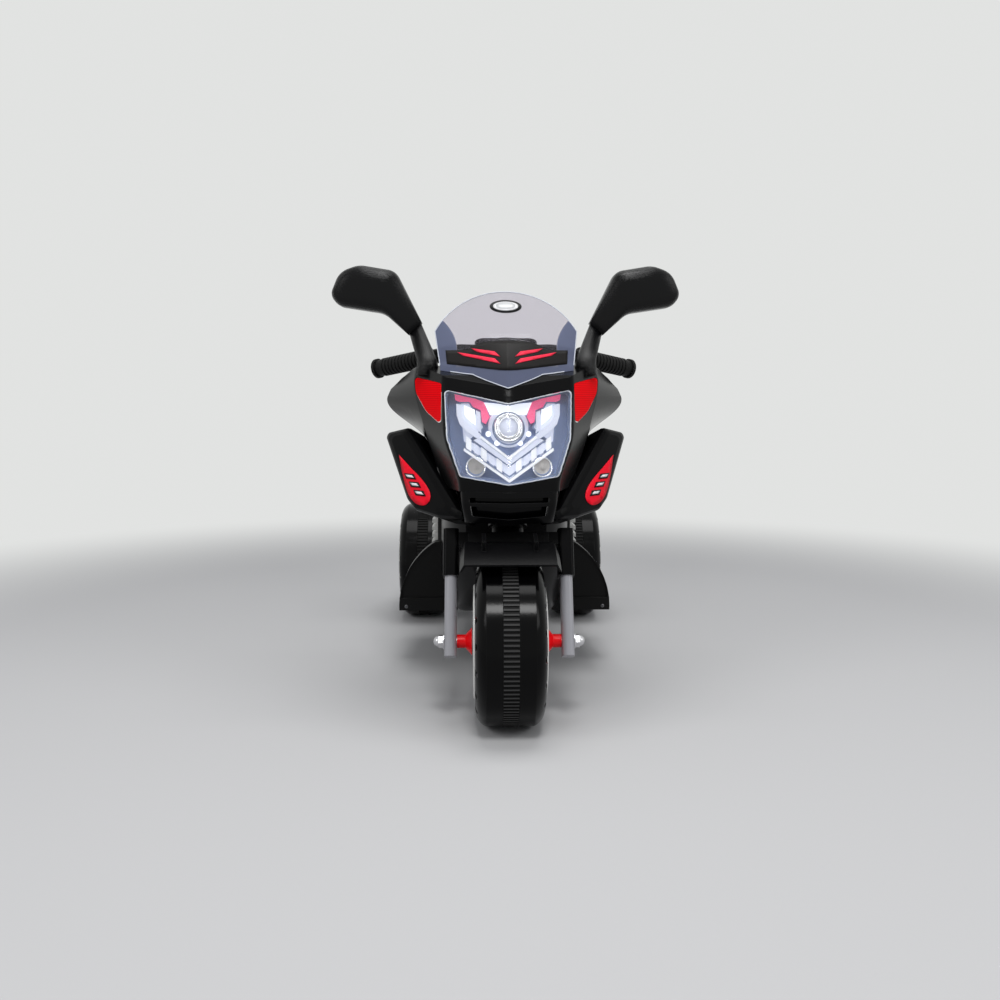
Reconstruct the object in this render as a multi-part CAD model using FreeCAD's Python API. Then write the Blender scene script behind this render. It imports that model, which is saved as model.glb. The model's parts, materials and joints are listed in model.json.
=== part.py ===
import FreeCAD, Part
import functools
import math
import os

# Battery-driven ride-on motorbike for a small child, three wheels, hard plastic shells.
# Front is -Y, +X is the rider's left, +Z is up, origin on the floor at the middle of the box.
V = FreeCAD.Vector

# Layout
WHEEL_R = 90.0
WHEEL_W = 73.0
WHEELBASE = 530.0
TAIL_REACH = 180.0
REAR_TRACK = 240.0
LENGTH = WHEEL_R + WHEELBASE + TAIL_REACH
FRONT_Y = -LENGTH / 2 + WHEEL_R
REAR_Y = FRONT_Y + WHEELBASE
BODY_FRONT = FRONT_Y + 118.0

# Fits
FIT = 0.15
RUN_FIT = 0.05
GAP = 0.4
WALL = 2.6

# Wheels
CROWN_HALF = 25.0
BAND_W = 16.0
BAND_DEPTH = 3.0
BAND_RIBS = 110
RIB_HEIGHT = 1.3
TYRE_WALL = 3.2
RIM_R = 56.0
RIM_LIP = 5.0
HUB_R = 12.0
HUB_REACH = 3.5
HUB_SUNK = 15.0
RIM_SPOKES = 6
SIDE_LUGS = 18
AXLE_R = 4.0

# Steering and fork
RAKE = 22.0
AXIS_SETBACK = 20.0
AXLE_N = -AXIS_SETBACK * math.cos(math.radians(RAKE))
AXLE_T = -AXIS_SETBACK * math.sin(math.radians(RAKE))
LEG_X = 63.0
LEG_W = 13.0
LEG_D = 24.0
LEG_BELOW = 17.0
LEG_ROUND = 5.8
LEG_SHOULDER = 70.0
LEG_PLUG = 26.0
POST_W = 17.0
POST_D = 28.0
POST_TOP = 122.0
CROWN_LOW = 105.0
CROWN_T = 13.0
STEM_R = 11.0
STEM_BORE = 8.5
BUSH_WALL = 4.0
BUSH_FLANGE = 3.0
BUSH_LIP = 3.0
HEAD_LOW = 124.0
HEAD_HIGH = 258.0
HEAD_WALL = 7.0
NECK_W = 32.0

# Bars
BAR_R = 9.0
BAR_HUB_Z = 403.0
BAR_BEND_X = 58.0
BAR_BEND_BACK = 24.0
BAR_END_X = 161.0
BAR_END_BACK = 94.0
BAR_END_Z = 388.0
GRIP_LEN = 84.0
GRIP_R = 11.5
GRIP_RIBS = 13
BUTTON_R = 7.0
BUTTON_X = 22.0
BUTTON_TRAVEL = 2.5
PAD_TOP = 11.0

# Nose fairing, widths are half widths
NOSE_LOW = 252.0
LENS_LOW_W = 54.0
LENS_MID_W = 68.0
LENS_TOP_W = 71.0
POD_W = 106.0
CHEEK_W = 147.0
CHEEK_Z = 352.0
CHEEK_TOP_W = 122.0
NOSE_TOP = 392.0
NOSE_RAKE = 0.575
NOSE_TIP = -14.0
PLAN_V = 13.0
LUG_Y = 160.0
LUG_LEN = 20.0
LUG_T = 3.0
LUG_Z = (274.0, 312.0)
RIM_LINE = [(-60, 330), (10, 343), (40, 361.5), (62, 375), (112, 387), (136, 384), (170, 374),
            (200, 357), (260, 357)]
REFLECTOR_DEPTH = 24.0
REFLECTOR_FRONT = 5.5
LENS_CUT = (FRONT_Y - 40.0, FRONT_Y + 90.0)
LAMPS = [(0, 317, 16.0), (-35, 278, 8.5), (35, 278, 8.5)]

# Windshield
SHIELD_T = 2.4
SHIELD_APEX = 480.0
SHIELD_ARC = 104.0

# Mirrors, seen from the front
MIRROR = [(195, 497), (206.5, 470), (196, 457), (143, 449), (115, 424), (99, 438), (129, 498), (172, 505)]
MIRROR_ROUND = [26, 18, 17, 26, 0, 0, 17, 30]
MIRROR_GLASS = [(199, 472), (191, 464), (146, 457), (127, 475), (135, 491), (171, 497), (186, 492)]
MIRROR_Y = 124.0
MIRROR_D = 30.0
MIRROR_DOME = 220.0
MIRROR_MIDDLE = (163.0, 480.0)

# Side panels, footboards, mudguard
PANEL_DEPTH = 24.0
PANEL = [(48, 223), (80, 222), (108, 227), (118, 237), (150, 310), (118, 318)]
PANEL_AT = (48.0, -2.0, 228.0)
PANEL_OUT = 1.03
PANEL_UP = 0.57
BOARD_FRONT = 190.0
BOARD_LEN = 178.0
BOARD_W = 134.0
BOARD_LOW = 81.0
BOARD_TOP = 97.0
BOARD_PEAK = 169.0
GUARD_R = WHEEL_R + 14.0
GUARD_W = 104.0
GUARD_T = 2.6
GUARD_SWEEP = 30.0
GUARD_RIB_X = 27.0
TANK_ROUND = [30, 8, 20, 20, 40, 20, 20, 8]
SEAT_ROUND = [30, 10, 14, 22, 40, 22, 14, 10]
TAIL_ROUND = [20, 8, 12, 14, 24, 14, 12, 8]

# Drive and electrics
BATTERY = (70.0, 47.0, 100.0)
PEDAL = (34.0, 80.0, 5.0)
MOTOR_R = 18.0
ENGINE_PROUD = 12.0
COVER_PROUD = 2.2
AXLE_BOSS = 58.0
PEDAL_PIN_R = 2.0
CHEEK_T = 3.0
TRAY_TOP = 96.0
DASH_LOW = 346.0
DASH_FLOOR = 356.0
DASH_TOP = 373.0
SWITCH = (18.0, 13.0)
POWER_X = -16.0
SWITCH_PIN_R = 2.0
SWITCH_PIN_OUT = 2.0
SWITCH_X = 16.0
SWITCH_Y = 202.0
SOCKET_R = 11.0
SOCKET_FACE = 82.0
SOCKET_DEEP = 15.0
SOCKET_BORE = 2.85
SOCKET_AT = (FRONT_Y + 300.0, 250.0)

os.makedirs("parts", exist_ok=True)


def rounded(points, radii):
    """Closed wire through the points, each corner rounded by its own radius."""
    n = len(points)
    ends = []
    for i in range(n):
        p = points[i]
        a = points[i - 1].sub(p)
        b = points[(i + 1) % n].sub(p)
        la, lb = a.Length, b.Length
        a.normalize()
        b.normalize()
        half = max(0.05, a.getAngle(b) / 2)
        r = radii[i]
        cut = min(r / math.tan(half), 0.45 * la, 0.45 * lb)
        r = cut * math.tan(half)
        mid = a.add(b)
        if mid.Length < 1e-6 or r < 1e-4:
            ends.append((p, None, p))
            continue
        mid.normalize()
        centre = p.add(mid.multiply(r / math.sin(half)))
        inward = p.sub(centre)
        inward.normalize()
        ends.append((p.add(a.multiply(cut)), centre.add(inward.multiply(r)), p.add(b.multiply(cut))))
    edges = []
    for i in range(n):
        start, middle, stop = ends[i]
        if middle is not None:
            edges.append(Part.Arc(start, middle, stop).toShape())
        after = ends[(i + 1) % n][0]
        if stop.sub(after).Length > 1e-5:
            edges.append(Part.LineSegment(stop, after).toShape())
    return Part.Wire(edges)


def grown(points, d):
    """2D outline (anticlockwise) with every side moved outward by d."""
    out = []
    n = len(points)
    for i in range(n):
        (x0, y0), (x1, y1), (x2, y2) = points[i - 1], points[i], points[(i + 1) % n]
        l1 = math.hypot(x1 - x0, y1 - y0)
        l2 = math.hypot(x2 - x1, y2 - y1)
        n1 = ((y1 - y0) / l1, (x0 - x1) / l1)
        n2 = ((y2 - y1) / l2, (x1 - x2) / l2)
        k = d / max(0.2, 1 + n1[0] * n2[0] + n1[1] * n2[1])
        out.append((x1 + (n1[0] + n2[0]) * k, y1 + (n1[1] + n2[1]) * k))
    return out


def both_sides(half):
    """Full outline from its right half, given anticlockwise from the low middle to the high middle."""
    return half + [(-x, z) for x, z in reversed(half) if x > 1e-6]


def prism(outline, radii, start, stop, axis):
    """Rounded 2D outline swept along an axis: XZ along y, YZ along x, XY along z."""
    to3 = {"y": lambda p: V(p[0], start, p[1]),
           "x": lambda p: V(start, p[0], p[1]),
           "z": lambda p: V(p[0], p[1], start)}[axis]
    way = {"y": V(0, stop - start, 0), "x": V(stop - start, 0, 0), "z": V(0, 0, stop - start)}[axis]
    if not isinstance(radii, (list, tuple)):
        radii = [radii] * len(outline)
    return Part.Face(rounded([to3(p) for p in outline], radii)).extrude(way)


def box(x0, x1, y0, y1, z0, z1):
    return Part.makeBox(x1 - x0, y1 - y0, z1 - z0, V(x0, y0, z0))


def rod_x(x0, x1, y, z, r):
    return Part.makeCylinder(r, x1 - x0, V(x0, y, z), V(1, 0, 0))


def mirrored(shape):
    return shape.mirror(V(0, 0, 0), V(1, 0, 0))


def main_solid(shape):
    """The one real solid of a cut, without the slivers that a curved cut can leave."""
    return max(shape.Solids, key=lambda s: s.Volume)


def steer_place(shape):
    """Moves a shape from the steering frame (x, back, up the steering axis) to its place."""
    out = shape.copy()
    turn = FreeCAD.Rotation(V(1, 0, 0), -RAKE)
    out.Placement = FreeCAD.Placement(V(0, FRONT_Y + AXIS_SETBACK, WHEEL_R), turn)
    return out


# Wheels: blow-moulded tyre, rubber running band, two snap-in rim discs
def tyre():
    half, crown = WHEEL_W / 2, WHEEL_R - 0.4
    low = RIM_R
    pts = [V(-half + 2, 0, low), V(-half, 0, low + 12), V(-half, 0, crown - 18)]
    right = [V(-p.x, 0, p.z) for p in reversed(pts)]
    groove = BAND_W / 2 + FIT
    floor = WHEEL_R - BAND_DEPTH - FIT
    inner_half, inner_top = half - TYRE_WALL, floor - TYRE_WALL
    shoulder = V(-half + 3.6, 0, crown - 6.2)
    edges = []
    line = lambda a, b: edges.append(Part.LineSegment(a, b).toShape())
    line(pts[0], pts[1])
    line(pts[1], pts[2])
    edges.append(Part.Arc(pts[2], shoulder, V(-CROWN_HALF, 0, crown)).toShape())
    chain = [V(-CROWN_HALF, 0, crown), V(-groove, 0, crown), V(-groove, 0, floor),
             V(groove, 0, floor), V(groove, 0, crown), V(CROWN_HALF, 0, crown)]
    for a, b in zip(chain, chain[1:]):
        line(a, b)
    edges.append(Part.Arc(chain[-1], V(-shoulder.x, 0, shoulder.z), right[0]).toShape())
    chain = right + [V(inner_half - 2, 0, low), V(inner_half, 0, low + 12), V(inner_half - 8, 0, inner_top),
                     V(-inner_half + 8, 0, inner_top), V(-inner_half, 0, low + 12),
                     V(-inner_half + 2, 0, low), pts[0]]
    for a, b in zip(chain, chain[1:]):
        line(a, b)
    body = Part.Face(Part.Wire(edges)).revolve(V(0, 0, 0), V(1, 0, 0), 360)
    notches = []
    for i in range(SIDE_LUGS):
        for s in (-1, 1):
            cut = Part.makeCylinder(4.5, 14, V(s * (half + 1.6), 0, crown - 22))
            cut.rotate(V(0, 0, 0), V(1, 0, 0), 360.0 * (i + 0.25 * (s + 1)) / SIDE_LUGS)
            notches.append(cut)
    return body.cut(notches)


def band():
    pts = []
    root, top = WHEEL_R - RIB_HEIGHT, WHEEL_R
    for i in range(BAND_RIBS):
        for share, r in ((-0.29, root), (-0.21, top), (0.21, top), (0.29, root)):
            a = 2 * math.pi * (i + share) / BAND_RIBS
            pts.append(V(-BAND_W / 2, r * math.sin(a), -r * math.cos(a)))
    pts.append(pts[0])
    ring = Part.Face(Part.makePolygon(pts)).extrude(V(BAND_W, 0, 0))
    return ring.cut(rod_x(-BAND_W, BAND_W, 0, 0, WHEEL_R - BAND_DEPTH))


def rim(reach):
    """One disc of the rim on the +X side; its half of the hub tube ends reach past the tyre."""
    face = WHEEL_W / 2 - 2
    seat = RIM_R - FIT
    lip = RIM_R + RIM_LIP
    out = face + 4.0
    hub_end = WHEEL_W / 2 + reach
    bore = AXLE_R + RUN_FIT
    root = min(hub_end, out)
    pts = [V(0, 0, bore), V(hub_end, 0, bore), V(hub_end, 0, HUB_R), V(root - 8, 0, HUB_R + 5),
           V(out - 6, 0, seat - 12), V(out, 0, seat - 3), V(out, 0, lip - 1.5), V(out - 1.5, 0, lip),
           V(face + 0.9, 0, lip), V(face + 0.4, 0, seat), V(out - 9, 0, seat),
           V(root - 11, 0, HUB_R + 4), V(0, 0, HUB_R)]
    disc = Part.Face(Part.makePolygon(pts + [pts[0]])).revolve(V(0, 0, 0), V(1, 0, 0), 360)
    windows = []
    inner, outer, share = HUB_R + 9, seat - 8, 0.30
    for i in range(RIM_SPOKES):
        a = 2 * math.pi / RIM_SPOKES
        wide, narrow = share * a, share * a * 0.8
        corner = [(inner, -narrow), (outer, -wide), (outer, wide), (inner, narrow)]
        shape = [(r * math.sin(t), r * math.cos(t)) for r, t in corner]
        cut = prism(shape, 4.0, hub_end - 30, out + 2, "x")
        cut.rotate(V(0, 0, 0), V(1, 0, 0), 360.0 * i / RIM_SPOKES)
        windows.append(cut)
    return disc.cut(windows)


def wheel_at(shape, x, y):
    out = shape.copy()
    out.translate(V(x, y, WHEEL_R))
    return out


def cone():
    """Red spacer cone between the front wheel's hub and a fork leg, on the +X side."""
    x0 = WHEEL_W / 2 + HUB_REACH
    x1 = LEG_X - LEG_W / 2 - GAP
    pts = [V(x0, 0, AXLE_R + RUN_FIT), V(x1, 0, AXLE_R + RUN_FIT), V(x1, 0, AXLE_R + 3.2),
           V(x0 + 7, 0, AXLE_R + 3.2), V(x0, 0, HUB_R + 3)]
    return Part.Face(Part.makePolygon(pts + [pts[0]])).revolve(V(0, 0, 0), V(1, 0, 0), 360)


def axle_nut(x, y):
    """Washer, hexagon and domed end of a cap nut, outward along +X from x."""
    washer = rod_x(x, x + 1.4, y, WHEEL_R, AXLE_R * 2.1)
    hexagon = []
    for i in range(6):
        a = math.pi / 3 * i
        hexagon.append((y + AXLE_R * 1.85 * math.cos(a), WHEEL_R + AXLE_R * 1.85 * math.sin(a)))
    nut = prism(hexagon, 0, x + 1.4, x + 6.2, "x")
    dome = Part.makeSphere(AXLE_R * 1.45, V(x + 6.0, y, WHEEL_R))
    nut = nut.fuse(dome.common(rod_x(x + 5.0, x + 20, y, WHEEL_R, AXLE_R * 3))).removeSplitter()
    hole = rod_x(x - 1, x + 6.8, y, WHEEL_R, AXLE_R + FIT)
    return [washer.cut(hole), nut.cut(hole)]


# Fork, built in the steering frame
def slab(x, n, w, d, t0, t1, r):
    x0, x1, n0, n1 = x - w / 2, x + w / 2, n - d / 2, n + d / 2
    return prism([(x0, n0), (x1, n0), (x1, n1), (x0, n1)], r, t0, t1, "z")


def fork_leg():
    foot = AXLE_T - LEG_BELOW
    leg = slab(LEG_X, AXLE_N, LEG_W, LEG_D, foot, AXLE_T + LEG_SHOULDER + LEG_PLUG, LEG_ROUND)
    hole = rod_x(LEG_X - LEG_W, LEG_X + LEG_W, AXLE_N, AXLE_T, AXLE_R + FIT)
    return leg.cut(hole)


def fork_crown():
    t0 = AXLE_T + LEG_SHOULDER
    top = AXLE_T + POST_TOP
    parts = []
    for s in (-1, 1):
        post = slab(s * LEG_X, AXLE_N, POST_W, POST_D, t0, top, 4.5)
        parts.append(post)
    low = AXLE_T + CROWN_LOW
    plate = crown_plate(0)
    boss = Part.makeCylinder(STEM_R + 7, HEAD_LOW - BUSH_FLANGE - GAP - low, V(0, 0, low))
    body = parts[0].fuse([parts[1], plate, boss]).removeSplitter()
    cuts = [Part.makeCylinder(STEM_R + FIT, 60, V(0, 0, low + 3))]
    for s in (-1, 1):
        cuts.append(slab(s * LEG_X, AXLE_N, LEG_W + 2 * FIT, LEG_D + 2 * FIT, t0 - 1, t0 + LEG_PLUG,
                         LEG_ROUND + FIT))
    return body.cut(cuts)


def stem():
    low = AXLE_T + CROWN_LOW + 3
    top = hub_t() + 14
    tube = Part.makeCylinder(STEM_R, top - low, V(0, 0, low))
    return tube.cut(Part.makeCylinder(STEM_BORE, top - low - 6, V(0, 0, low - 3)))


def hub_t():
    """Height of the bar's middle along the steering axis."""
    return (BAR_HUB_Z - WHEEL_R) / math.cos(math.radians(RAKE))


def bushes():
    out = []
    r0, r1 = STEM_R + RUN_FIT, STEM_R + BUSH_WALL
    for low, high, flange in ((HEAD_LOW, HEAD_LOW + 18, -1), (HEAD_HIGH - 18, HEAD_HIGH, 1)):
        sleeve = Part.makeCylinder(r1, high - low, V(0, 0, low))
        edge = low - BUSH_FLANGE if flange < 0 else high
        ring = Part.makeCylinder(r1 + BUSH_LIP, BUSH_FLANGE, V(0, 0, edge))
        out.append(sleeve.fuse(ring).removeSplitter().cut(Part.makeCylinder(r0, 400, V(0, 0, 0))))
    return Part.makeCompound(out)


def crown_depth():
    return POST_D + abs(AXLE_N) - 6


def crown_plate(d):
    low = AXLE_T + CROWN_LOW
    deep = crown_depth()
    return slab(0, AXLE_N / 2, 2 * LEG_X + 2 * d, deep + 2 * d, low - d, low + CROWN_T + d, 8.0)


def mudguard():
    """Short beak over the front of the tyre, with a flange screwed to the crown's front face."""
    half, r = GUARD_W / 2, GUARD_R
    t = GUARD_T
    edge = r - 7
    pts = [(-half, edge), (-half + t, edge), (-half + 6, r), (half - 6, r), (half - t, edge), (half, edge),
           (half - 4.5, r + t), (-half + 4.5, r + t)]
    face = Part.Face(Part.makePolygon([V(x, 0, z) for x, z in pts + [pts[0]]]))
    face.rotate(V(0, 0, 0), V(1, 0, 0), -RAKE)
    arch = face.revolve(V(0, 0, 0), V(1, 0, 0), RAKE + GUARD_SWEEP)
    ribs = []
    for x in (-GUARD_RIB_X, GUARD_RIB_X):
        corners = [V(x - 2, 0, r + 1), V(x + 2, 0, r + 1), V(x + 2, 0, r + 13), V(x - 2, 0, r + 13)]
        rib = Part.Face(Part.makePolygon(corners + [corners[0]]))
        ribs.append(rib.revolve(V(0, 0, 0), V(1, 0, 0), 16))
    arch = arch.fuse(ribs)
    arch.translate(V(0, FRONT_Y, WHEEL_R))
    front = AXLE_N / 2 - crown_depth() / 2 - FIT
    low = AXLE_T + CROWN_LOW
    behind = steer_place(box(-90, 90, front, front + 90, low - 60, low + 90))
    flange = steer_place(box(-half + 8, half - 8, front - 3.0, front, low - 4, low + CROWN_T - 1))
    return arch.cut(behind).fuse(flange).removeSplitter()


# Bars and grips
def bar_points(s):
    y = FRONT_Y + AXIS_SETBACK + (BAR_HUB_Z - WHEEL_R) * math.tan(math.radians(RAKE))
    return [V(0, y, BAR_HUB_Z), V(s * BAR_BEND_X, y + BAR_BEND_BACK, BAR_HUB_Z + 3),
            V(s * BAR_END_X, y + BAR_END_BACK, BAR_END_Z)]


def tube_along(points, bend, r):
    """Round tube on straight runs joined by one tangent arc at the middle point."""
    a, b, c = points
    u, w = a.sub(b), c.sub(b)
    u.normalize()
    w.normalize()
    half = u.getAngle(w) / 2
    cut = bend / math.tan(half)
    mid = u.add(w)
    mid.normalize()
    centre = b.add(V(mid).multiply(bend / math.sin(half)))
    inward = b.sub(centre)
    inward.normalize()
    p, q = b.add(V(u).multiply(cut)), b.add(V(w).multiply(cut))
    path = Part.Wire([Part.LineSegment(a, p).toShape(),
                      Part.Arc(p, centre.add(inward.multiply(bend)), q).toShape(),
                      Part.LineSegment(q, c).toShape()])
    ring = Part.Wire([Part.Circle(a, b.sub(a), r).toShape()])
    return path.makePipeShell([ring], True, False)


def handlebar():
    arms = [tube_along(bar_points(s), 60.0, BAR_R) for s in (-1, 1)]
    t = hub_t()
    hub = steer_place(Part.makeCylinder(STEM_R + 9, 26 + PAD_TOP, V(0, 0, t - 26)))
    pad = steer_place(slab(0, 2, 74, 40, t - 8, t + PAD_TOP, 12))
    body = hub.fuse([pad] + arms).removeSplitter()
    bore = steer_place(Part.makeCylinder(STEM_R + FIT, 60, V(0, 0, t - 46)))
    low = t + PAD_TOP - 8
    holes = [steer_place(Part.makeCylinder(BUTTON_R + GAP, 30, V(s * BUTTON_X, 2, low))) for s in (-1, 1)]
    return body.cut([bore] + holes)


def bar_button(s):
    low = hub_t() + PAD_TOP - 8 + BUTTON_TRAVEL + GAP
    return steer_place(Part.makeCylinder(BUTTON_R, 8.0, V(s * BUTTON_X, 2, low)))


def grip(s):
    a, b = bar_points(s)[1], bar_points(s)[2]
    way = b.sub(a)
    way.normalize()
    start = b.sub(V(way).multiply(GRIP_LEN))
    body = Part.makeCylinder(GRIP_R - 1.0, GRIP_LEN, start, way)
    rings = []
    step = (GRIP_LEN - 14) / GRIP_RIBS
    for i in range(GRIP_RIBS):
        at = start.add(V(way).multiply(6 + i * step))
        rings.append(Part.makeCylinder(GRIP_R, step * 0.55, at, way))
    end = Part.makeCylinder(GRIP_R + 1, 4, b.sub(V(way).multiply(1.0)), way)
    collar = Part.makeCylinder(GRIP_R + 1.5, 3, start, way)
    body = body.fuse(rings + [end, collar]).removeSplitter()
    return body.cut(Part.makeCylinder(BAR_R + FIT, GRIP_LEN + FIT, start, way))


# Nose fairing: plan outlines lofted upward, with a crease round the cheeks
def nose_row(z, low_shift, ax, bx, by, cx, cy):
    tip = NOSE_TIP + max(0.0, z - 268.0) * NOSE_RAKE + low_shift
    half = [(0, tip), (ax, tip + PLAN_V), (bx, by), (cx, cy)]
    return z, half


def nose_rows():
    low = [nose_row(NOSE_LOW, -3, LENS_LOW_W - 2, 72, 56, 84, 178),
           nose_row(268.0, 0, LENS_LOW_W, 77, 60, 86, 180),
           nose_row(307.0, 0, LENS_MID_W, 92, 82, 104, 184),
           nose_row(331.0, 0, (LENS_MID_W + LENS_TOP_W) / 2, 99, 95, CHEEK_W - 11, 191),
           nose_row(CHEEK_Z, 0, LENS_TOP_W, POD_W - 1, 108, CHEEK_W, 195)]
    high = [low[-1],
            nose_row(370.0, 0, LENS_TOP_W + 0.5, POD_W + 1, 116, (CHEEK_W + CHEEK_TOP_W) / 2 + 3, 195),
            nose_row(NOSE_TOP, 0, LENS_TOP_W - 1, POD_W - 3, 119, CHEEK_TOP_W, 195)]
    return low, high


def nose_wire(row, d, back, z):
    half = row[1]
    outline = half + [(-x, y) for x, y in reversed(half) if x > 0]
    outline = grown(outline, d)
    outline[3] = (outline[3][0], outline[3][1] + back)
    outline[4] = (outline[4][0], outline[4][1] + back)
    pts = [V(x, FRONT_Y + y, z) for x, y in outline]
    return rounded(pts, [34, 9, 26, 2, 2, 26, 9])


@functools.lru_cache(maxsize=None)
def nose_solid(d, back=0.0, down=0.0, drop=0.0):
    low, high = nose_rows()
    wires = [nose_wire(r, d, back, r[0]) for r in low]
    if down:
        wires.insert(0, nose_wire(low[0], d, back, low[0][0] - down))
    lower = Part.makeLoft(wires, True, False)
    upper = Part.makeLoft([nose_wire(r, d, back, r[0]) for r in high], True, False)
    return lower.fuse(upper).cut(above_rim(drop))


def above_rim(drop):
    pts = [V(-300, FRONT_Y + y, z - drop) for y, z in RIM_LINE]
    pts += [V(-300, FRONT_Y + 260, 600), V(-300, FRONT_Y - 60, 600)]
    return Part.Face(Part.makePolygon(pts + [pts[0]])).extrude(V(600, 0, 0))


def lens_outline(d):
    half = [(0, 259), (LENS_LOW_W - 1.5, 267), (LENS_MID_W - 1.0, 307), (LENS_TOP_W - 1.0, 359), (0, 344)]
    return grown(both_sides(half), d)


def lens_prism(d):
    radii = [6, 5, 10, 4, 6, 4, 10, 5]
    return prism(lens_outline(d), radii, *LENS_CUT, "y")


def side_lens_prism(d):
    pts = grown([(LENS_TOP_W + 2.5, 321), (POD_W - 14, 335), (POD_W - 1, 356), (POD_W + 1, 374.5),
                 (LENS_TOP_W + 2.5, 366)], d)
    return prism(pts, [3, 24, 20, 4, 3], FRONT_Y + 10, FRONT_Y + 124, "y")


@functools.lru_cache(maxsize=None)
def nose_shell():
    return nose_solid(0).cut(nose_solid(-WALL, 40, 10, WALL))


def front_fairing():
    cockpit = prism([(-44, FRONT_Y + 96), (44, FRONT_Y + 96), (56, FRONT_Y + 230), (-56, FRONT_Y + 230)],
                    14, 340, 420, "z")
    side = side_lens_prism(GAP)
    shell = nose_shell().cut([cockpit, lens_prism(GAP), side, mirrored(side)])
    lugs = []
    for z in LUG_Z:
        lug = box(50, 140, FRONT_Y + LUG_Y, FRONT_Y + LUG_Y + LUG_LEN, z, z + LUG_T)
        lug = main_solid(lug.common(nose_solid(-WALL / 2, 20.0)).cut(body_solid(FIT)))
        lugs += [lug, mirrored(lug)]
    return main_solid(shell.fuse(lugs).removeSplitter().cut(body_solid(FIT)))


def headlight_lens():
    return main_solid(nose_shell().common(lens_prism(0)))


def side_lenses():
    one = main_solid(nose_shell().common(side_lens_prism(0)))
    return Part.makeCompound([one, mirrored(one)])


def lamp_layer(front, back):
    """Slanted V-shaped layer behind the headlight lens, between two depths."""
    low, high = 240.0, 380.0
    reach = 90.0
    tip = FRONT_Y + NOSE_TIP + (low - 268.0) * NOSE_RAKE
    side = tip + PLAN_V * reach / LENS_MID_W
    pts = [V(0, tip + front, low), V(reach, side + front, low), V(reach, side + back, low),
           V(0, tip + back, low), V(-reach, side + back, low), V(-reach, side + front, low)]
    return Part.Face(Part.makePolygon(pts + [pts[0]])).extrude(V(0, (high - low) * NOSE_RAKE, high - low))


def lamp_rods(d):
    """Rods along the view of the round lamps, d thicker than the lamps."""
    return [Part.makeCylinder(r + d, LENS_CUT[1] - LENS_CUT[0], V(x, LENS_CUT[0], z), V(0, 1, 0))
            for x, z, r in LAMPS]


def headlight_reflector():
    deep = REFLECTOR_DEPTH
    block = lamp_layer(REFLECTOR_FRONT, deep).common(lens_prism(-GAP))
    tray = block.cut(lamp_layer(0, deep - 2.5).common(lens_prism(-2.6)))
    cups = lamp_rods(1.6)
    holes = lamp_rods(FIT)
    rings = lamp_layer(deep - 13, deep - 2).common(cups[0].fuse(cups[1:]))
    frames = [lamp_layer(deep - 11, deep - 2).common(c) for c in chevrons(1.6)]
    body = tray.fuse([rings] + frames)
    pockets = [lamp_layer(0, deep - 2.5).common(h) for h in holes]
    strips = [lamp_layer(0, deep - 6).common(c) for c in chevrons(0)]
    body = body.cut(pockets + strips).common(lens_prism(-GAP)).common(nose_solid(-WALL - GAP, 40))
    return main_solid(body.removeSplitter())


def chevrons(d):
    """Two light strips shaped like a V under the middle lamp, and a blade beside it on each side."""
    out = []
    low = [(0, 268), (42, 296), (42, 304), (0, 277)]
    out.append(prism(grown(both_sides(low), d), 1.0, *LENS_CUT, "y"))
    for s in (-1, 1):
        blade = [(s * 27, 318), (s * 48, 300), (s * 53, 344), (s * 43, 344)]
        if s < 0:
            blade.reverse()
        out.append(prism(grown(blade, d), 2.0, *LENS_CUT, "y"))
    return out


def headlight_lamps():
    zone = lamp_layer(REFLECTOR_DEPTH - 10, REFLECTOR_DEPTH - 2.5)
    bar_zone = lamp_layer(REFLECTOR_DEPTH - 9, REFLECTOR_DEPTH - 6)
    lamps = [rod.common(zone) for rod in lamp_rods(0)]
    return Part.makeCompound(lamps + [strip.common(bar_zone) for strip in chevrons(-FIT)])


def chin_solid(d, back, more):
    rows = [(NOSE_LOW - FIT, NOSE_TIP - 3, LENS_LOW_W - 3, 60, 62), (236.0, NOSE_TIP - 4, 50, 56, 60),
            (218.0, NOSE_TIP + 2, 46, 54, 54)]
    wires = []
    for z, tip, ax, bx, by in rows:
        half = [(0, tip), (ax, tip + PLAN_V), (bx, by)]
        pts = grown(half + [(-x, y) for x, y in reversed(half) if x > 0], d)
        pts[2] = (pts[2][0], pts[2][1] + back)
        pts[3] = (pts[3][0], pts[3][1] + back)
        lift = more if z == rows[0][0] else 0
        wires.append(rounded([V(x, FRONT_Y + y, z + lift) for x, y in pts], [34, 9, 2, 2, 9]))
    return Part.makeLoft(wires, True, False)


def nose_chin():
    """Chin below the headlight, with an intake slot and a slat across it."""
    near, far = FRONT_Y - 60, FRONT_Y + 20
    shell = chin_solid(0, 0, 0).cut(chin_solid(-WALL, 30, 5))
    lip = prism([(-90, 205), (0, 216), (90, 205), (90, 200), (-90, 200)], 0, near, FRONT_Y + 90, "y")
    floor_cut = box(-80, 80, FRONT_Y + 14, FRONT_Y + 120, 190, 232)
    slot = prism(both_sides([(0, 223), (40, 226), (43, 246), (0, 246)]), 3, near, far, "y")
    slat = slot.common(box(-60, 60, near, far, 236.5, 240.5))
    back = chin_solid(-10, 0, 0).cut(chin_solid(-10 - WALL, 30, 5)).common(box(-46, 46, near, far, 220, 248))
    roof = chin_solid(-WALL / 2, 0, 0).cut(chin_solid(-12, 30, 5)).common(box(-46, 46, near, far, 246, 249))
    return shell.cut(slot.cut(slat)).cut(lip).cut(floor_cut).fuse([back, roof]).removeSplitter()


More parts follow.
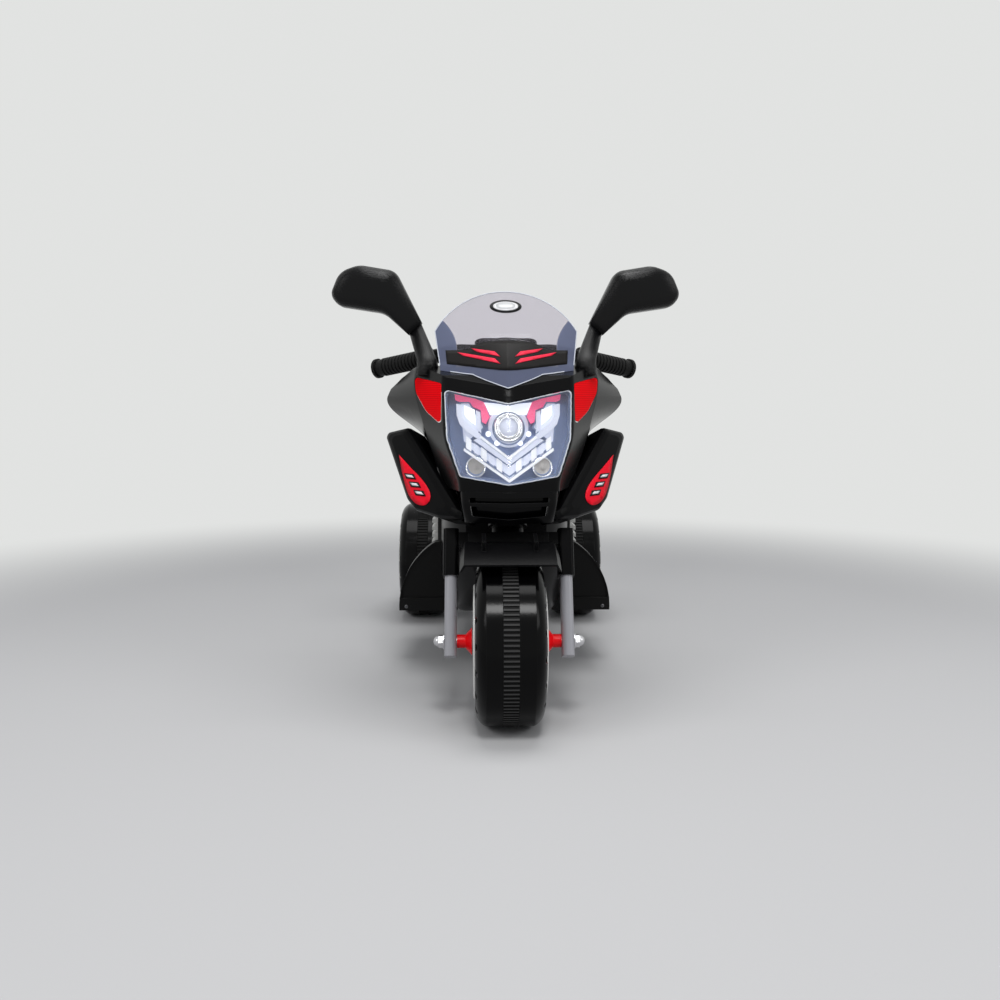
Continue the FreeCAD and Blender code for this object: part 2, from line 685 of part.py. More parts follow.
# Windshield
def windshield():
    rows = [(350.0, 31, 72, 62, 0.43), (380.0, 51, 77, 86, 0.41), (420.0, 90, 86, 130, 0.33),
            (450.0, 134, 90, 166, 0.28), (486.0, 202, 92, 228, 0.26)]
    wires = []
    t = SHIELD_T

    def arc(x0, x1, y0, y1, share, z):
        """Half of a row; share is where its halfway point lies, 0.5 being straight."""
        low, high = min(y0, y1), max(y0, y1)
        return Part.Arc(V(x0, FRONT_Y + y0, z), V((x0 + x1) / 2, FRONT_Y + low + (high - low) * share, z),
                        V(x1, FRONT_Y + y1, z)).toShape()

    for z, mid, w, edge, share in rows:
        w2, edge2, mid2 = w - t, edge + t, mid + t * 1.3
        wires.append(Part.Wire([
            arc(-w, 0, edge, mid, share, z), arc(0, w, mid, edge, share, z),
            Part.LineSegment(V(w, FRONT_Y + edge, z), V(w2, FRONT_Y + edge2, z)).toShape(),
            arc(w2, 0, edge2, mid2, share, z), arc(0, -w2, mid2, edge2, share, z),
            Part.LineSegment(V(-w2, FRONT_Y + edge2, z), V(-w, FRONT_Y + edge, z)).toShape()]))
    skin = Part.makeLoft(wires, True, False)
    side_z = SHIELD_APEX - 52
    w = math.sqrt(SHIELD_ARC ** 2 - (SHIELD_ARC - 52) ** 2) - 6
    a, b, c, d = V(-68, 0, 340), V(68, 0, 340), V(w, 0, side_z), V(-w, 0, side_z)
    edges = [Part.LineSegment(a, b).toShape(), Part.LineSegment(b, c).toShape(),
             Part.Arc(c, V(0, 0, SHIELD_APEX), d).toShape(), Part.LineSegment(d, a).toShape()]
    trim = Part.Face(Part.Wire(edges)).extrude(V(0, 400, 0))
    trim.translate(V(0, FRONT_Y - 40, 0))
    return skin.common(trim).common(above_rim(-FIT))


# Mirrors
def mirror_wire(d, y):
    pts = grown(list(reversed(MIRROR)), d)
    return rounded([V(x, FRONT_Y + y, z) for x, z in pts], list(reversed(MIRROR_ROUND)))


def glass_prism(d, y0, y1):
    pts = grown(list(reversed(MIRROR_GLASS)), d)
    return prism(pts, [6, 5, 10, 10, 10, 12, 6], FRONT_Y + y0, FRONT_Y + y1, "y")


def mirror_housing():
    steps = [(-11, 0), (-6.5, 1.6), (-3.2, 4.2), (-1.2, 8), (0, 14), (0, MIRROR_D - 3), (-1.2, MIRROR_D)]
    shell = Part.makeLoft([mirror_wire(d, MIRROR_Y + y) for d, y in steps], True, True)
    x, z = MIRROR_MIDDLE
    shell = shell.common(Part.makeSphere(MIRROR_DOME, V(x, FRONT_Y + MIRROR_Y + MIRROR_DOME, z)))
    return shell.cut(glass_prism(GAP, MIRROR_Y + MIRROR_D - 3.0, MIRROR_Y + MIRROR_D + 10))


def mirror_glass():
    one = glass_prism(0, MIRROR_Y + MIRROR_D - 3.0, MIRROR_Y + MIRROR_D - 1.0)
    return Part.makeCompound([one, mirrored(one)])


def mirror_stalk():
    """Stalk from the fairing's shoulder to the end face of the mirror's arm."""
    wires = []
    for z, x, y, w, d in ((376.0, 90, 106, 27, 28), (394.0, 92, 111, 23, 24)):
        pts = [V(x - w / 2, FRONT_Y + y - d / 2, z), V(x + w / 2, FRONT_Y + y - d / 2, z),
               V(x + w / 2, FRONT_Y + y + d / 2, z), V(x - w / 2, FRONT_Y + y + d / 2, z)]
        wires.append(rounded(pts, [8] * 4))
    low, high = MIRROR[4], MIRROR[5]
    out = math.hypot(low[0] - high[0], low[1] - high[1])
    away = V(high[1] - low[1], 0, low[0] - high[0]).multiply(-FIT / out)
    reach = math.hypot((low[0] + high[0]) / 2 - MIRROR_MIDDLE[0], (low[1] + high[1]) / 2 - MIRROR_MIDDLE[1])
    sag = MIRROR_DOME - math.sqrt(MIRROR_DOME ** 2 - reach ** 2)
    y0, y1 = FRONT_Y + MIRROR_Y + sag, FRONT_Y + MIRROR_Y + MIRROR_D - 6
    inset = 0.06
    a = V(high[0] + (low[0] - high[0]) * inset, y0, high[1] + (low[1] - high[1]) * inset).add(away)
    b = V(low[0] + (high[0] - low[0]) * inset, y0, low[1] + (high[1] - low[1]) * inset).add(away)
    top = [a, b, V(b.x, y1, b.z), V(a.x, y1, a.z)]
    wires.append(rounded(top, [6] * 4))
    return main_solid(Part.makeLoft(wires, True, True).cut(nose_solid(FIT)))


# Side panels, swept back beside the fork
def panel_point(x, z, depth):
    y = FRONT_Y + PANEL_AT[1] + PANEL_OUT * (x - PANEL_AT[0]) + PANEL_UP * (z - PANEL_AT[2])
    n = V(-PANEL_OUT, 1, -PANEL_UP)
    n.normalize()
    return V(x, y, z).add(n.multiply(depth))


def panel_wire(d, depth):
    pts = grown(PANEL, d)
    return rounded([panel_point(x, z, depth) for x, z in pts], [5, 20, 9, 16, 5, 9])


def panel_loft(d, shift, deep):
    steps = [(-9, 0), (-5, 1.2), (-2.2, 3.2), (-0.6, 6), (0, 9), (-1, 9 + deep)]
    return Part.makeLoft([panel_wire(d + inset, shift + y) for inset, y in steps], True, True)


def side_panel():
    shell = panel_loft(0, 0, PANEL_DEPTH).cut(panel_loft(-WALL, WALL, PANEL_DEPTH + 12))
    return main_solid(shell.cut([nose_solid(FIT), body_solid(FIT), chin_solid(FIT, 0, 0)]))


# Main body: two mirrored half shells
def body_rows():
    return [(BODY_FRONT, [(0, 128), (32, 128), (48, 170), (48, 296), (34, 326), (0, 328)]),
            (FRONT_Y + 165, [(0, 86), (58, 86), (76, 140), (74, 292), (52, 334), (0, 338)]),
            (FRONT_Y + 270, [(0, 80), (64, 80), (80, 128), (78, 280), (58, 328), (0, 333)]),
            (FRONT_Y + 365, [(0, 78), (62, 78), (74, 124), (72, 240), (60, 270), (0, 272)]),
            (REAR_Y - 75, [(0, 74), (58, 74), (70, 116), (70, 242), (62, 266), (0, 268)]),
            (REAR_Y - 5, [(0, 62), (56, 62), (70, 96), (70, 246), (60, 274), (0, 278)]),
            (REAR_Y + 45, [(0, 88), (52, 88), (64, 128), (66, 250), (55, 278), (0, 282)]),
            (REAR_Y + 82, [(0, 146), (45, 146), (55, 182), (57, 256), (47, 282), (0, 286)]),
            (REAR_Y + 114, [(0, 206), (36, 206), (44, 230), (46, 262), (38, 285), (0, 290)])]


def body_wire(half, y, d):
    pts = grown(both_sides(half), d)
    return rounded([V(x, y, z) for x, z in pts], [40, 14, 22, 30, 16, 40, 16, 30, 22, 14])


@functools.lru_cache(maxsize=None)
def body_solid(d, ends=0.0):
    rows = body_rows()
    wires = []
    for i, (y, half) in enumerate(rows):
        shift = -ends if i == 0 else (ends if i == len(rows) - 1 else 0)
        wires.append(body_wire(half, y + shift, d))
    return Part.makeLoft(wires, True, False)


def neck():
    """Web that carries the steering head in front of the body."""
    half = NECK_W / 2
    web = steer_place(box(-half, half, 0, 120, HEAD_LOW, HEAD_HIGH))
    web = web.common(box(-half, half, FRONT_Y, BODY_FRONT + 8, 0, 600))
    r = STEM_R + BUSH_WALL + HEAD_WALL
    tube = steer_place(Part.makeCylinder(r, HEAD_HIGH - HEAD_LOW, V(0, 0, HEAD_LOW)))
    return web, tube


def side_cover():
    """Raised swept field below the seat, on the +X side."""
    outline = [(FRONT_Y + 356, 232), (FRONT_Y + 372, 192), (REAR_Y - 20, 190), (REAR_Y + 70, 214),
               (REAR_Y + 100, 243)]
    band = prism(outline, [10, 16, 40, 30, 4], 30, 140, "x")
    return main_solid(band.common(body_solid(COVER_PROUD)).cut(body_solid(-WALL / 2)))


def body_halves():
    outer = body_solid(0)
    inner = body_solid(-WALL, -WALL)
    web, tube = neck()
    cover = side_cover()
    whole = outer.cut(inner).fuse([web.cut(inner), tube.cut(inner), cover, mirrored(cover)])
    bosses = []
    for s in (-1, 1):
        x0, x1 = REAR_TRACK / 2 - WHEEL_W / 2 - HUB_REACH - GAP, AXLE_BOSS
        bosses.append(rod_x(min(s * x0, s * x1), max(s * x0, s * x1), REAR_Y, WHEEL_R, AXLE_R + 9))
    whole = whole.fuse(bosses)
    bore = steer_place(Part.makeCylinder(STEM_R + BUSH_WALL + FIT, 400, V(0, 0, 0)))
    relief = steer_place(Part.makeCylinder(STEM_R + BUSH_WALL + BUSH_LIP + GAP, 60, V(0, 0, HEAD_HIGH)))
    axle = rod_x(-200, 200, REAR_Y, WHEEL_R, AXLE_R + FIT)
    y0, y1 = FRONT_Y + 372, REAR_Y + 10
    hatch = prism([(-44, y0), (44, y0), (44, y1), (-44, y1)], 10, 240, 300, "z")
    socket = rod_x(0, 120, *SOCKET_AT, SOCKET_R + FIT)
    whole = whole.cut([bore, relief, axle, hatch, socket, dash_block(FIT)])
    left = whole.common(box(0, 300, -500, 500, 0, 600))
    right = whole.common(box(-300, 0, -500, 500, 0, 600))
    return left, right


def charge_socket():
    """Charging inlet in the left side of the body, with its barrel bore."""
    y, z = SOCKET_AT
    barrel = rod_x(SOCKET_FACE - 21, SOCKET_FACE, y, z, SOCKET_R)
    flange = rod_x(60, SOCKET_FACE, y, z, SOCKET_R + 3).cut(body_solid(FIT))
    body = barrel.fuse(main_solid(flange))
    return body.cut(rod_x(SOCKET_FACE - SOCKET_DEEP, SOCKET_FACE + 5, y, z, SOCKET_BORE))


# Tank cover, dash, seat and tail
def loft_rows(rows, d, radii, ends=0.0):
    wires = []
    for i, (y, half) in enumerate(rows):
        shift = -ends if i == 0 else (ends if i == len(rows) - 1 else 0)
        wires.append(rounded([V(x, y + shift, z) for x, z in grown(both_sides(half), d)], radii))
    return Part.makeLoft(wires, True, False)


def tank_rows():
    return [(FRONT_Y + 150, [(0, 300), (40, 300), (40, 334), (26, 350), (0, 352)]),
            (FRONT_Y + 195, [(0, 296), (64, 296), (62, 338), (42, 362), (0, 366)]),
            (FRONT_Y + 265, [(0, 290), (72, 290), (66, 336), (42, 362), (0, 367)]),
            (FRONT_Y + 335, [(0, 262), (66, 262), (56, 308), (36, 330), (0, 334)]),
            (FRONT_Y + 378, [(0, 250), (46, 250), (40, 276), (26, 288), (0, 290)])]


def tank_cover():
    shell = loft_rows(tank_rows(), 0, TANK_ROUND).cut(loft_rows(tank_rows(), -WALL, TANK_ROUND, -WALL))
    return shell.cut([body_solid(FIT), dash_block(FIT), seat_solid(FIT)])


def dash_block(d):
    y0, y1 = FRONT_Y + 176, FRONT_Y + 226
    return prism(grown([(-34, y0), (34, y0), (34, y1), (-34, y1)], d), 10, DASH_LOW - d, DASH_TOP, "z")


def switch_pin(d):
    """Pin of the rocker, or its hole in the dash with the clearance d."""
    reach = SWITCH[1] / 2 + SWITCH_PIN_OUT + d
    start = V(SWITCH_X - reach, FRONT_Y + SWITCH_Y, DASH_FLOOR + 10)
    return Part.makeCylinder(SWITCH_PIN_R + d, 2 * reach, start, V(1, 0, 0))


def dash_panel():
    plate = dash_block(0)
    y0, y1 = FRONT_Y + 184, FRONT_Y + 218
    well = prism([(-28, y0), (28, y0), (28, y1), (-28, y1)], 6, DASH_TOP - 3, DASH_TOP + 7, "z")
    y = FRONT_Y + SWITCH_Y
    round_hole = Part.makeCylinder(BUTTON_R + GAP, 40, V(POWER_X, y, DASH_FLOOR))
    w, d = SWITCH[0] / 2 + GAP, SWITCH[1] / 2 + GAP
    slot = box(SWITCH_X - d, SWITCH_X + d, y - w, y + w, DASH_FLOOR - 2, DASH_TOP + 17)
    return plate.cut([well, round_hole, slot, switch_pin(GAP)])


def power_button():
    return Part.makeCylinder(BUTTON_R, 16, V(POWER_X, FRONT_Y + SWITCH_Y, DASH_FLOOR + BUTTON_TRAVEL + GAP))


def direction_switch():
    """Rocker with two sloping ends, turning on a pin across the dash."""
    y, z = FRONT_Y + SWITCH_Y, DASH_FLOOR + 10
    w, d = SWITCH[0] / 2, SWITCH[1] / 2
    pts = [(y - w + 1, z - 3), (y + w - 1, z - 3), (y + w - 1.4, z + 8), (y, z + 5.6), (y - w + 1.4, z + 8)]
    return prism(pts, 1.0, SWITCH_X - d, SWITCH_X + d, "x").fuse(switch_pin(0))


def seat_rows():
    return [(FRONT_Y + 362, [(0, 250), (44, 250), (46, 284), (30, 296), (0, 298)]),
            (FRONT_Y + 410, [(0, 248), (70, 248), (70, 276), (52, 291), (0, 293)]),
            (REAR_Y - 60, [(0, 248), (86, 248), (86, 282), (64, 297), (0, 295)]),
            (REAR_Y + 20, [(0, 252), (82, 252), (80, 296), (58, 312), (0, 310)]),
            (REAR_Y + 62, [(0, 258), (64, 258), (62, 316), (44, 334), (0, 338)])]


@functools.lru_cache(maxsize=None)
def seat_solid(d):
    return loft_rows(seat_rows(), d, SEAT_ROUND, max(d, 0))


def seat():
    shell = seat_solid(0).cut(loft_rows(seat_rows(), -WALL, SEAT_ROUND, -WALL))
    return shell.cut(body_solid(FIT))


def tail_rows():
    return [(REAR_Y + 50, [(0, 262), (58, 262), (60, 300), (40, 326), (0, 330)]),
            (REAR_Y + 110, [(0, 274), (46, 274), (50, 306), (32, 334), (0, 338)]),
            (REAR_Y + 158, [(0, 298), (32, 298), (36, 320), (24, 340), (0, 344)]),
            (REAR_Y + TAIL_REACH, [(0, 314), (22, 314), (25, 328), (17, 341), (0, 344)])]


def tail_light_zone(d):
    return box(-40, 40, REAR_Y + TAIL_REACH - 14 - d, REAR_Y + TAIL_REACH + 10, 319 - d, 337 + d)


def tail_cover():
    shell = loft_rows(tail_rows(), 0, TAIL_ROUND).cut(loft_rows(tail_rows(), -WALL, TAIL_ROUND, -WALL))
    return main_solid(shell.cut([body_solid(FIT), seat_solid(FIT), tail_light_zone(FIT)]))


def tail_light():
    return loft_rows(tail_rows(), 0, TAIL_ROUND).common(tail_light_zone(0))


# Footboards with their leg shields
def board_face(d, y):
    """Leg shield seen from the front: straight foot, bowed outer edge."""
    low, out, peak = BOARD_LOW - d, BOARD_W + d, BOARD_PEAK + d
    a, b, c, e = V(60, y, low), V(out, y, low), V(88, y, peak), V(60, y, peak + 3)
    bow = V((out + 88) / 2 + 12, y, (low + peak) / 2 + 6)
    edges = [Part.LineSegment(a, b).toShape(), Part.Arc(b, bow, c).toShape(),
             Part.LineSegment(c, e).toShape(), Part.LineSegment(e, a).toShape()]
    return Part.Face(Part.Wire(edges))


def footboard(pedal):
    y0 = FRONT_Y + BOARD_FRONT
    y1 = y0 + BOARD_LEN
    front = board_face(0, y0 + 3).extrude(V(0, WALL, 0))
    hood = board_face(0, y0).extrude(V(0, 18, 0)).cut(board_face(-WALL, y0 - 1).extrude(V(0, 30, 0)))
    plan = [(60, y0), (BOARD_W, y0), (BOARD_W - 8, y1), (60, y1)]
    tread = prism(plan, [0, 2, 16, 0], BOARD_LOW, BOARD_TOP, "z")
    hollow = prism(grown(plan, -WALL), [0, 2, 14, 0], BOARD_LOW - 1, BOARD_TOP - WALL, "z")
    tread = tread.cut(hollow)
    ribs = [box(66, BOARD_W - 10, y, y + 4, BOARD_TOP - 1, BOARD_TOP + 1.6)
            for y in (y1 - 60, y1 - 48, y1 - 36, y1 - 24)]
    body = front.fuse([hood, tread] + ribs).removeSplitter()
    cuts = [body_solid(FIT)]
    if pedal:
        x0, x1, ya, yb = pedal_place(GAP)
        side = CHEEK_T + FIT
        low, high = BOARD_TOP - 10, BOARD_TOP + 20
        cuts.append(box(x0, x1, ya, yb, low, high))
        cuts.append(box(x0 - side, x1 + side, yb - 10 - FIT, yb - 1 + FIT, low, high))
    return main_solid(body.cut(cuts))


def pedal_place(d):
    """Plan of the accelerator pedal, on the +X side before mirroring."""
    x = (84 + BOARD_W - 8) / 2
    y = FRONT_Y + BOARD_FRONT + 24
    return x - PEDAL[0] / 2 - d, x + PEDAL[0] / 2 + d, y - d, y + PEDAL[1] + d


def pedal():
    x0, x1, y0, y1 = pedal_place(0)
    low = BOARD_TOP + 2
    top = low + PEDAL[2]
    plate = prism([(x0, y0), (x1, y0), (x1, y1), (x0, y1)], 3, low, top, "z")
    ribs = [box(x0 + 4, x1 - 4, y0 + 8 + i * 11, y0 + 12 + i * 11, top - 1, top + 2) for i in range(6)]
    lug = rod_x(x0 + 3, x1 - 3, y1 - 5, BOARD_TOP + 1, PEDAL_PIN_R + 2.5)
    plunger = box((x0 + x1) / 2 - 4, (x0 + x1) / 2 + 4, y0 + 12, y0 + 20, BOARD_TOP - 4.0, BOARD_TOP + 3)
    body = plate.fuse(ribs + [lug, plunger]).removeSplitter()
    return body.cut(rod_x(x0 - 5, x1 + 5, y1 - 5, BOARD_TOP + 1, PEDAL_PIN_R + RUN_FIT))


def pedal_box():
    """Switch box under the pedal, with the cheeks and pin that the pedal turns on."""
    x0, x1, y0, y1 = pedal_place(GAP)
    low, high = BOARD_LOW - 5, BOARD_TOP - WALL - FIT
    case = prism([(x0 - 3, y0 - 2), (x1 + 3, y0 - 2), (x1 + 3, y1 + 3), (x0 - 3, y1 + 3)], 3, low, high, "z")
    well = box(x0, x1, y0, y1, BOARD_TOP - 9, high + 5)
    pin = rod_x(x0 - 2, x1 + 2, y1 - GAP - 5, BOARD_TOP + 1, PEDAL_PIN_R)
    cheeks = [box(a, a + CHEEK_T, y1 - 10, y1 - 1, BOARD_TOP - 9, BOARD_TOP + 4) for a in (x0 - CHEEK_T, x1)]
    return case.cut(well).fuse(cheeks + [pin]).removeSplitter()


# Engine trim on the body's sides
def engine_trim():
    y0 = FRONT_Y + BOARD_FRONT + 22
    outline = [(y0, 108), (y0 + 116, 108), (y0 + 132, 150), (y0 + 104, 206), (y0 + 14, 206), (y0 - 2, 150)]
    block = prism(outline, 14, 40, 140, "x").common(body_solid(ENGINE_PROUD))
    block = block.cut(body_solid(FIT))
    fins = []
    for i in range(5):
        z = 158 + i * 9
        fins.append(box(84, 140, y0 - 20, y0 + 160, z, z + 4.2).cut(body_solid(ENGINE_PROUD - 6)))
    disc = rod_x(70, 140, y0 + 62, 132, 20).cut(rod_x(60, 140, y0 + 62, 132, 17))
    fins.append(disc.cut(body_solid(ENGINE_PROUD - 3)))
    return block.cut(fins)


# Inside: battery, tray, drive unit
def battery_place():
    return -BATTERY[0] / 2, BATTERY[0] / 2, FRONT_Y + 392, FRONT_Y + 392 + BATTERY[1]


def battery():
    x0, x1, y0, y1 = battery_place()
    top = TRAY_TOP + BATTERY[2]
    case = box(x0, x1, y0, y1, TRAY_TOP, top)
    posts = [box(x - 3, x + 3, y0 + 8, y0 + 14, top - 1, top + 7) for x in (-22, 22)]
    return case.fuse(posts).removeSplitter()


def battery_tray():
    x0, x1, y0, y1 = battery_place()
    base = box(x0 - 4, x1 + 4, y0 - 4, y1 + 4, 40, TRAY_TOP + 24).common(body_solid(-WALL - FIT))
    return base.cut(box(x0 - FIT, x1 + FIT, y0 - FIT, y1 + FIT, TRAY_TOP, 300))


def gearbox():
    """Closed gearbox on the rider's right, clamped round the axle."""
    x0, x1 = FIT - AXLE_BOSS, -26
    pts = [(REAR_Y - 62, 92), (REAR_Y - 30, 74), (REAR_Y + 22, 70), (REAR_Y + 28, 104), (REAR_Y - 8, 126),
           (REAR_Y - 62, 132)]
    case = prism(pts, 8, x0, x1, "x")
    rim = prism(grown(pts, 4), 10, (x0 + x1) / 2 - 2, (x0 + x1) / 2 + 2, "x")
    boss = rod_x(x0, x1, REAR_Y, WHEEL_R, 14)
    body = case.fuse([rim, boss]).removeSplitter().common(body_solid(-WALL - FIT))
    return body.cut(rod_x(-100, 100, REAR_Y, WHEEL_R, AXLE_R + FIT))


def motor():
    y, z = REAR_Y - 42, 112
    can = rod_x(-26 + FIT, 28, y, z, MOTOR_R)
    cap = rod_x(28, 34, y, z, 6)
    return can.fuse(cap).removeSplitter()


def rear_axle():
    end = REAR_TRACK / 2 + WHEEL_W / 2 - HUB_SUNK + GAP + 6
    return rod_x(-end, end, REAR_Y, WHEEL_R, AXLE_R)


def front_axle():
    end = LEG_X + LEG_W / 2 + 6
    return rod_x(-end, end, FRONT_Y, WHEEL_R, AXLE_R)


def nut_pair(x, y):
    right = axle_nut(x, y)
    return Part.makeCompound(right + [mirrored(s) for s in right])


def build():
    nodes = {}
    t, b, c = tyre(), band(), cone()
    proud, sunk = rim(HUB_REACH), rim(-HUB_SUNK)
    rims = {"front": [proud, mirrored(proud)],
            "rear_left": [sunk, mirrored(proud)],
            "rear_right": [proud, mirrored(sunk)]}
    half = REAR_TRACK / 2
    for name, x, y in (("front", 0, FRONT_Y), ("rear_left", half, REAR_Y), ("rear_right", -half, REAR_Y)):
        nodes[name + "_tyre"] = wheel_at(t, x, y)
        nodes[name + "_band"] = wheel_at(b, x, y)
        nodes[name + "_rims"] = wheel_at(Part.makeCompound(rims[name]), x, y)
    nodes["front_spacer_cones"] = wheel_at(Part.makeCompound([c, mirrored(c)]), 0, FRONT_Y)
    leg = steer_place(fork_leg())
    nodes["fork_leg_left"] = leg
    nodes["fork_leg_right"] = mirrored(leg)
    nodes["fork_crown"] = steer_place(fork_crown())
    nodes["steering_stem"] = steer_place(stem())
    nodes["steering_bushes"] = steer_place(bushes())
    nodes["mudguard"] = mudguard()
    nodes["front_axle"] = front_axle()
    nodes["front_axle_nuts"] = nut_pair(LEG_X + LEG_W / 2 + FIT, FRONT_Y)
    nodes["handlebar"] = handlebar()
    nodes["grip_left"] = grip(1)
    nodes["grip_right"] = grip(-1)
    nodes["horn_button"] = bar_button(1)
    nodes["music_button"] = bar_button(-1)
    nodes["front_fairing"] = front_fairing()
    nodes["headlight_lens"] = headlight_lens()
    nodes["headlight_reflector"] = headlight_reflector()
    nodes["headlight_lamps"] = headlight_lamps()
    nodes["side_lenses"] = side_lenses()
    nodes["nose_chin"] = nose_chin()
    nodes["windshield"] = windshield()
    for make in (mirror_housing, mirror_stalk, side_panel, engine_trim):
        shape = make()
        nodes[make.__name__ + "_left"] = shape
        nodes[make.__name__ + "_right"] = mirrored(shape)
    nodes["mirror_glasses"] = mirror_glass()
    nodes["body_shell_left"], nodes["body_shell_right"] = body_halves()
    nodes["tank_cover"] = tank_cover()
    nodes["dash_panel"] = dash_panel()
    nodes["power_button"] = power_button()
    nodes["direction_switch"] = direction_switch()
    nodes["seat"] = seat()
    nodes["tail_cover"] = tail_cover()
    nodes["tail_light"] = tail_light()
    nodes["footboard_left"] = footboard(False)
    nodes["footboard_right"] = mirrored(footboard(True))
    nodes["accelerator_pedal"] = mirrored(pedal())
    nodes["pedal_switch_box"] = mirrored(pedal_box())
    nodes["battery"] = battery()
    nodes["battery_tray"] = battery_tray()
    nodes["gearbox"] = gearbox()
    nodes["motor"] = motor()
    nodes["rear_axle"] = rear_axle()
    nodes["rear_axle_nuts"] = nut_pair(half + WHEEL_W / 2 - HUB_SUNK + GAP, REAR_Y)
    nodes["charge_socket"] = charge_socket()
    return nodes


for name, shape in build().items():
    shape.exportStep("parts/" + name + ".step")
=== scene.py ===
import json
import math
import bmesh
import bpy
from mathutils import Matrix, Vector
from mathutils.bvhtree import BVHTree


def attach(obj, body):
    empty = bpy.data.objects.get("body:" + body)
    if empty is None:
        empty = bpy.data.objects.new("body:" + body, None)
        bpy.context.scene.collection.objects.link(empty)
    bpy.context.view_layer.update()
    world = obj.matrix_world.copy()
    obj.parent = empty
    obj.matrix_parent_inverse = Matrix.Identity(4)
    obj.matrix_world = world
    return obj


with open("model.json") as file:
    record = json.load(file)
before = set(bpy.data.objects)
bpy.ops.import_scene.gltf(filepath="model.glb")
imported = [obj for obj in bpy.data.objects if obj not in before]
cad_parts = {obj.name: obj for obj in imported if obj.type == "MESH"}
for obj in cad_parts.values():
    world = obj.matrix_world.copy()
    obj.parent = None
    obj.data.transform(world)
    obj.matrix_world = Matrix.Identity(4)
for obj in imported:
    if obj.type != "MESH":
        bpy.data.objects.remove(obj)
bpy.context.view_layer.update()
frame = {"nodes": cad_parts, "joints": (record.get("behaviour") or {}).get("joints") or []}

# Studio: the camera stands low in front of the bike, as the photographer did. A pale floor runs
# out to a white surround, and four broad soft lamps light the bike from above.
CAMERA_PLACE = (-0.031, -1.310, 0.350)
CAMERA_DIP = 6.13
CAMERA_TURN = -1.21
WALL_GREY = (0.757, 0.766, 0.757, 1)
FLOOR_HALF = 4.0
FLOOR_DROP = 0.0003
FADE_START = 0.75
FADE_END = 1.6
scene = bpy.context.scene
scene.view_settings.view_transform = "Standard"
eye = bpy.data.cameras.new("front_view")
eye.lens = 34.2
eye.sensor_width = 36.0
camera = bpy.data.objects.new("front_view", eye)
camera.location = CAMERA_PLACE
camera.rotation_euler = (math.radians(90 - CAMERA_DIP), 0, math.radians(CAMERA_TURN))
scene.collection.objects.link(camera)
scene.camera = camera


def add(tree, kind, **sockets):
    """A shader node. Each socket is set or linked by its name, or by its place as i_0, i_1 and so on."""
    made = tree.nodes.new(kind)
    for key, value in sockets.items():
        if key.startswith("i_"):
            socket = made.inputs[int(key[2:])]
        else:
            socket = made.inputs[key.replace("_", " ")]
        if isinstance(value, bpy.types.NodeSocket):
            tree.links.new(value, socket)
        else:
            socket.default_value = value
    return made


def math_step(tree, kind, first, second=0.0):
    """One step of arithmetic on shader values."""
    made = add(tree, "ShaderNodeMath", i_0=first, i_1=second)
    made.operation = kind
    return made.outputs[0]


def ramp(tree, value, start, stop):
    """0 at start and before it, 1 at stop and past it; stop may be the lower of the two."""
    made = add(tree, "ShaderNodeMapRange", Value=value, From_Min=start, From_Max=stop)
    return made.outputs[0]


def seen_directly(tree):
    """1 where a ray comes straight from the camera, a glossy surface or a clear one."""
    path = add(tree, "ShaderNodeLightPath")
    some = math_step(tree, "MAXIMUM", path.outputs["Is Camera Ray"], path.outputs["Is Glossy Ray"])
    return math_step(tree, "MAXIMUM", some, path.outputs["Is Transmission Ray"])


surround = bpy.data.worlds.new("white_surround")
scene.world = surround
surround.use_nodes = True
sky_tree = surround.node_tree
sky_tree.nodes.clear()
dim = add(sky_tree, "ShaderNodeBackground", Color=(0.95, 0.97, 1.0, 1), Strength=0.38)
white = add(sky_tree, "ShaderNodeBackground", Color=WALL_GREY, Strength=1.0)
sky = add(sky_tree, "ShaderNodeMixShader", i_0=seen_directly(sky_tree), i_1=dim.outputs[0],
          i_2=white.outputs[0])
add(sky_tree, "ShaderNodeOutputWorld", Surface=sky.outputs[0])

corners = [(x * FLOOR_HALF, y * FLOOR_HALF, -FLOOR_DROP) for x, y in ((-1, -1), (1, -1), (1, 1), (-1, 1))]
floor_mesh = bpy.data.meshes.new("studio_floor")
floor_mesh.from_pydata(corners, [], [(0, 1, 2, 3)])
floor = bpy.data.objects.new("studio_floor", floor_mesh)
scene.collection.objects.link(floor)
pale = bpy.data.materials.new("pale_floor")
pale.use_nodes = True
floor_tree = pale.node_tree
floor_tree.nodes.clear()
floor_spot = add(floor_tree, "ShaderNodeTexCoord")
reach = add(floor_tree, "ShaderNodeVectorMath", i_0=floor_spot.outputs["Object"])
reach.operation = "LENGTH"
fade = ramp(floor_tree, reach.outputs["Value"], FADE_START, FADE_END)
fade.node.interpolation_type = "SMOOTHSTEP"
far_floor = math_step(floor_tree, "MULTIPLY", fade, seen_directly(floor_tree))
matt = add(floor_tree, "ShaderNodeBsdfDiffuse", Color=(0.53, 0.53, 0.535, 1))
glow = add(floor_tree, "ShaderNodeEmission", Color=WALL_GREY, Strength=1.0)
both = add(floor_tree, "ShaderNodeMixShader", i_0=far_floor, i_1=matt.outputs[0], i_2=glow.outputs[0])
add(floor_tree, "ShaderNodeOutputMaterial", Surface=both.outputs[0])
floor_mesh.materials.append(pale)

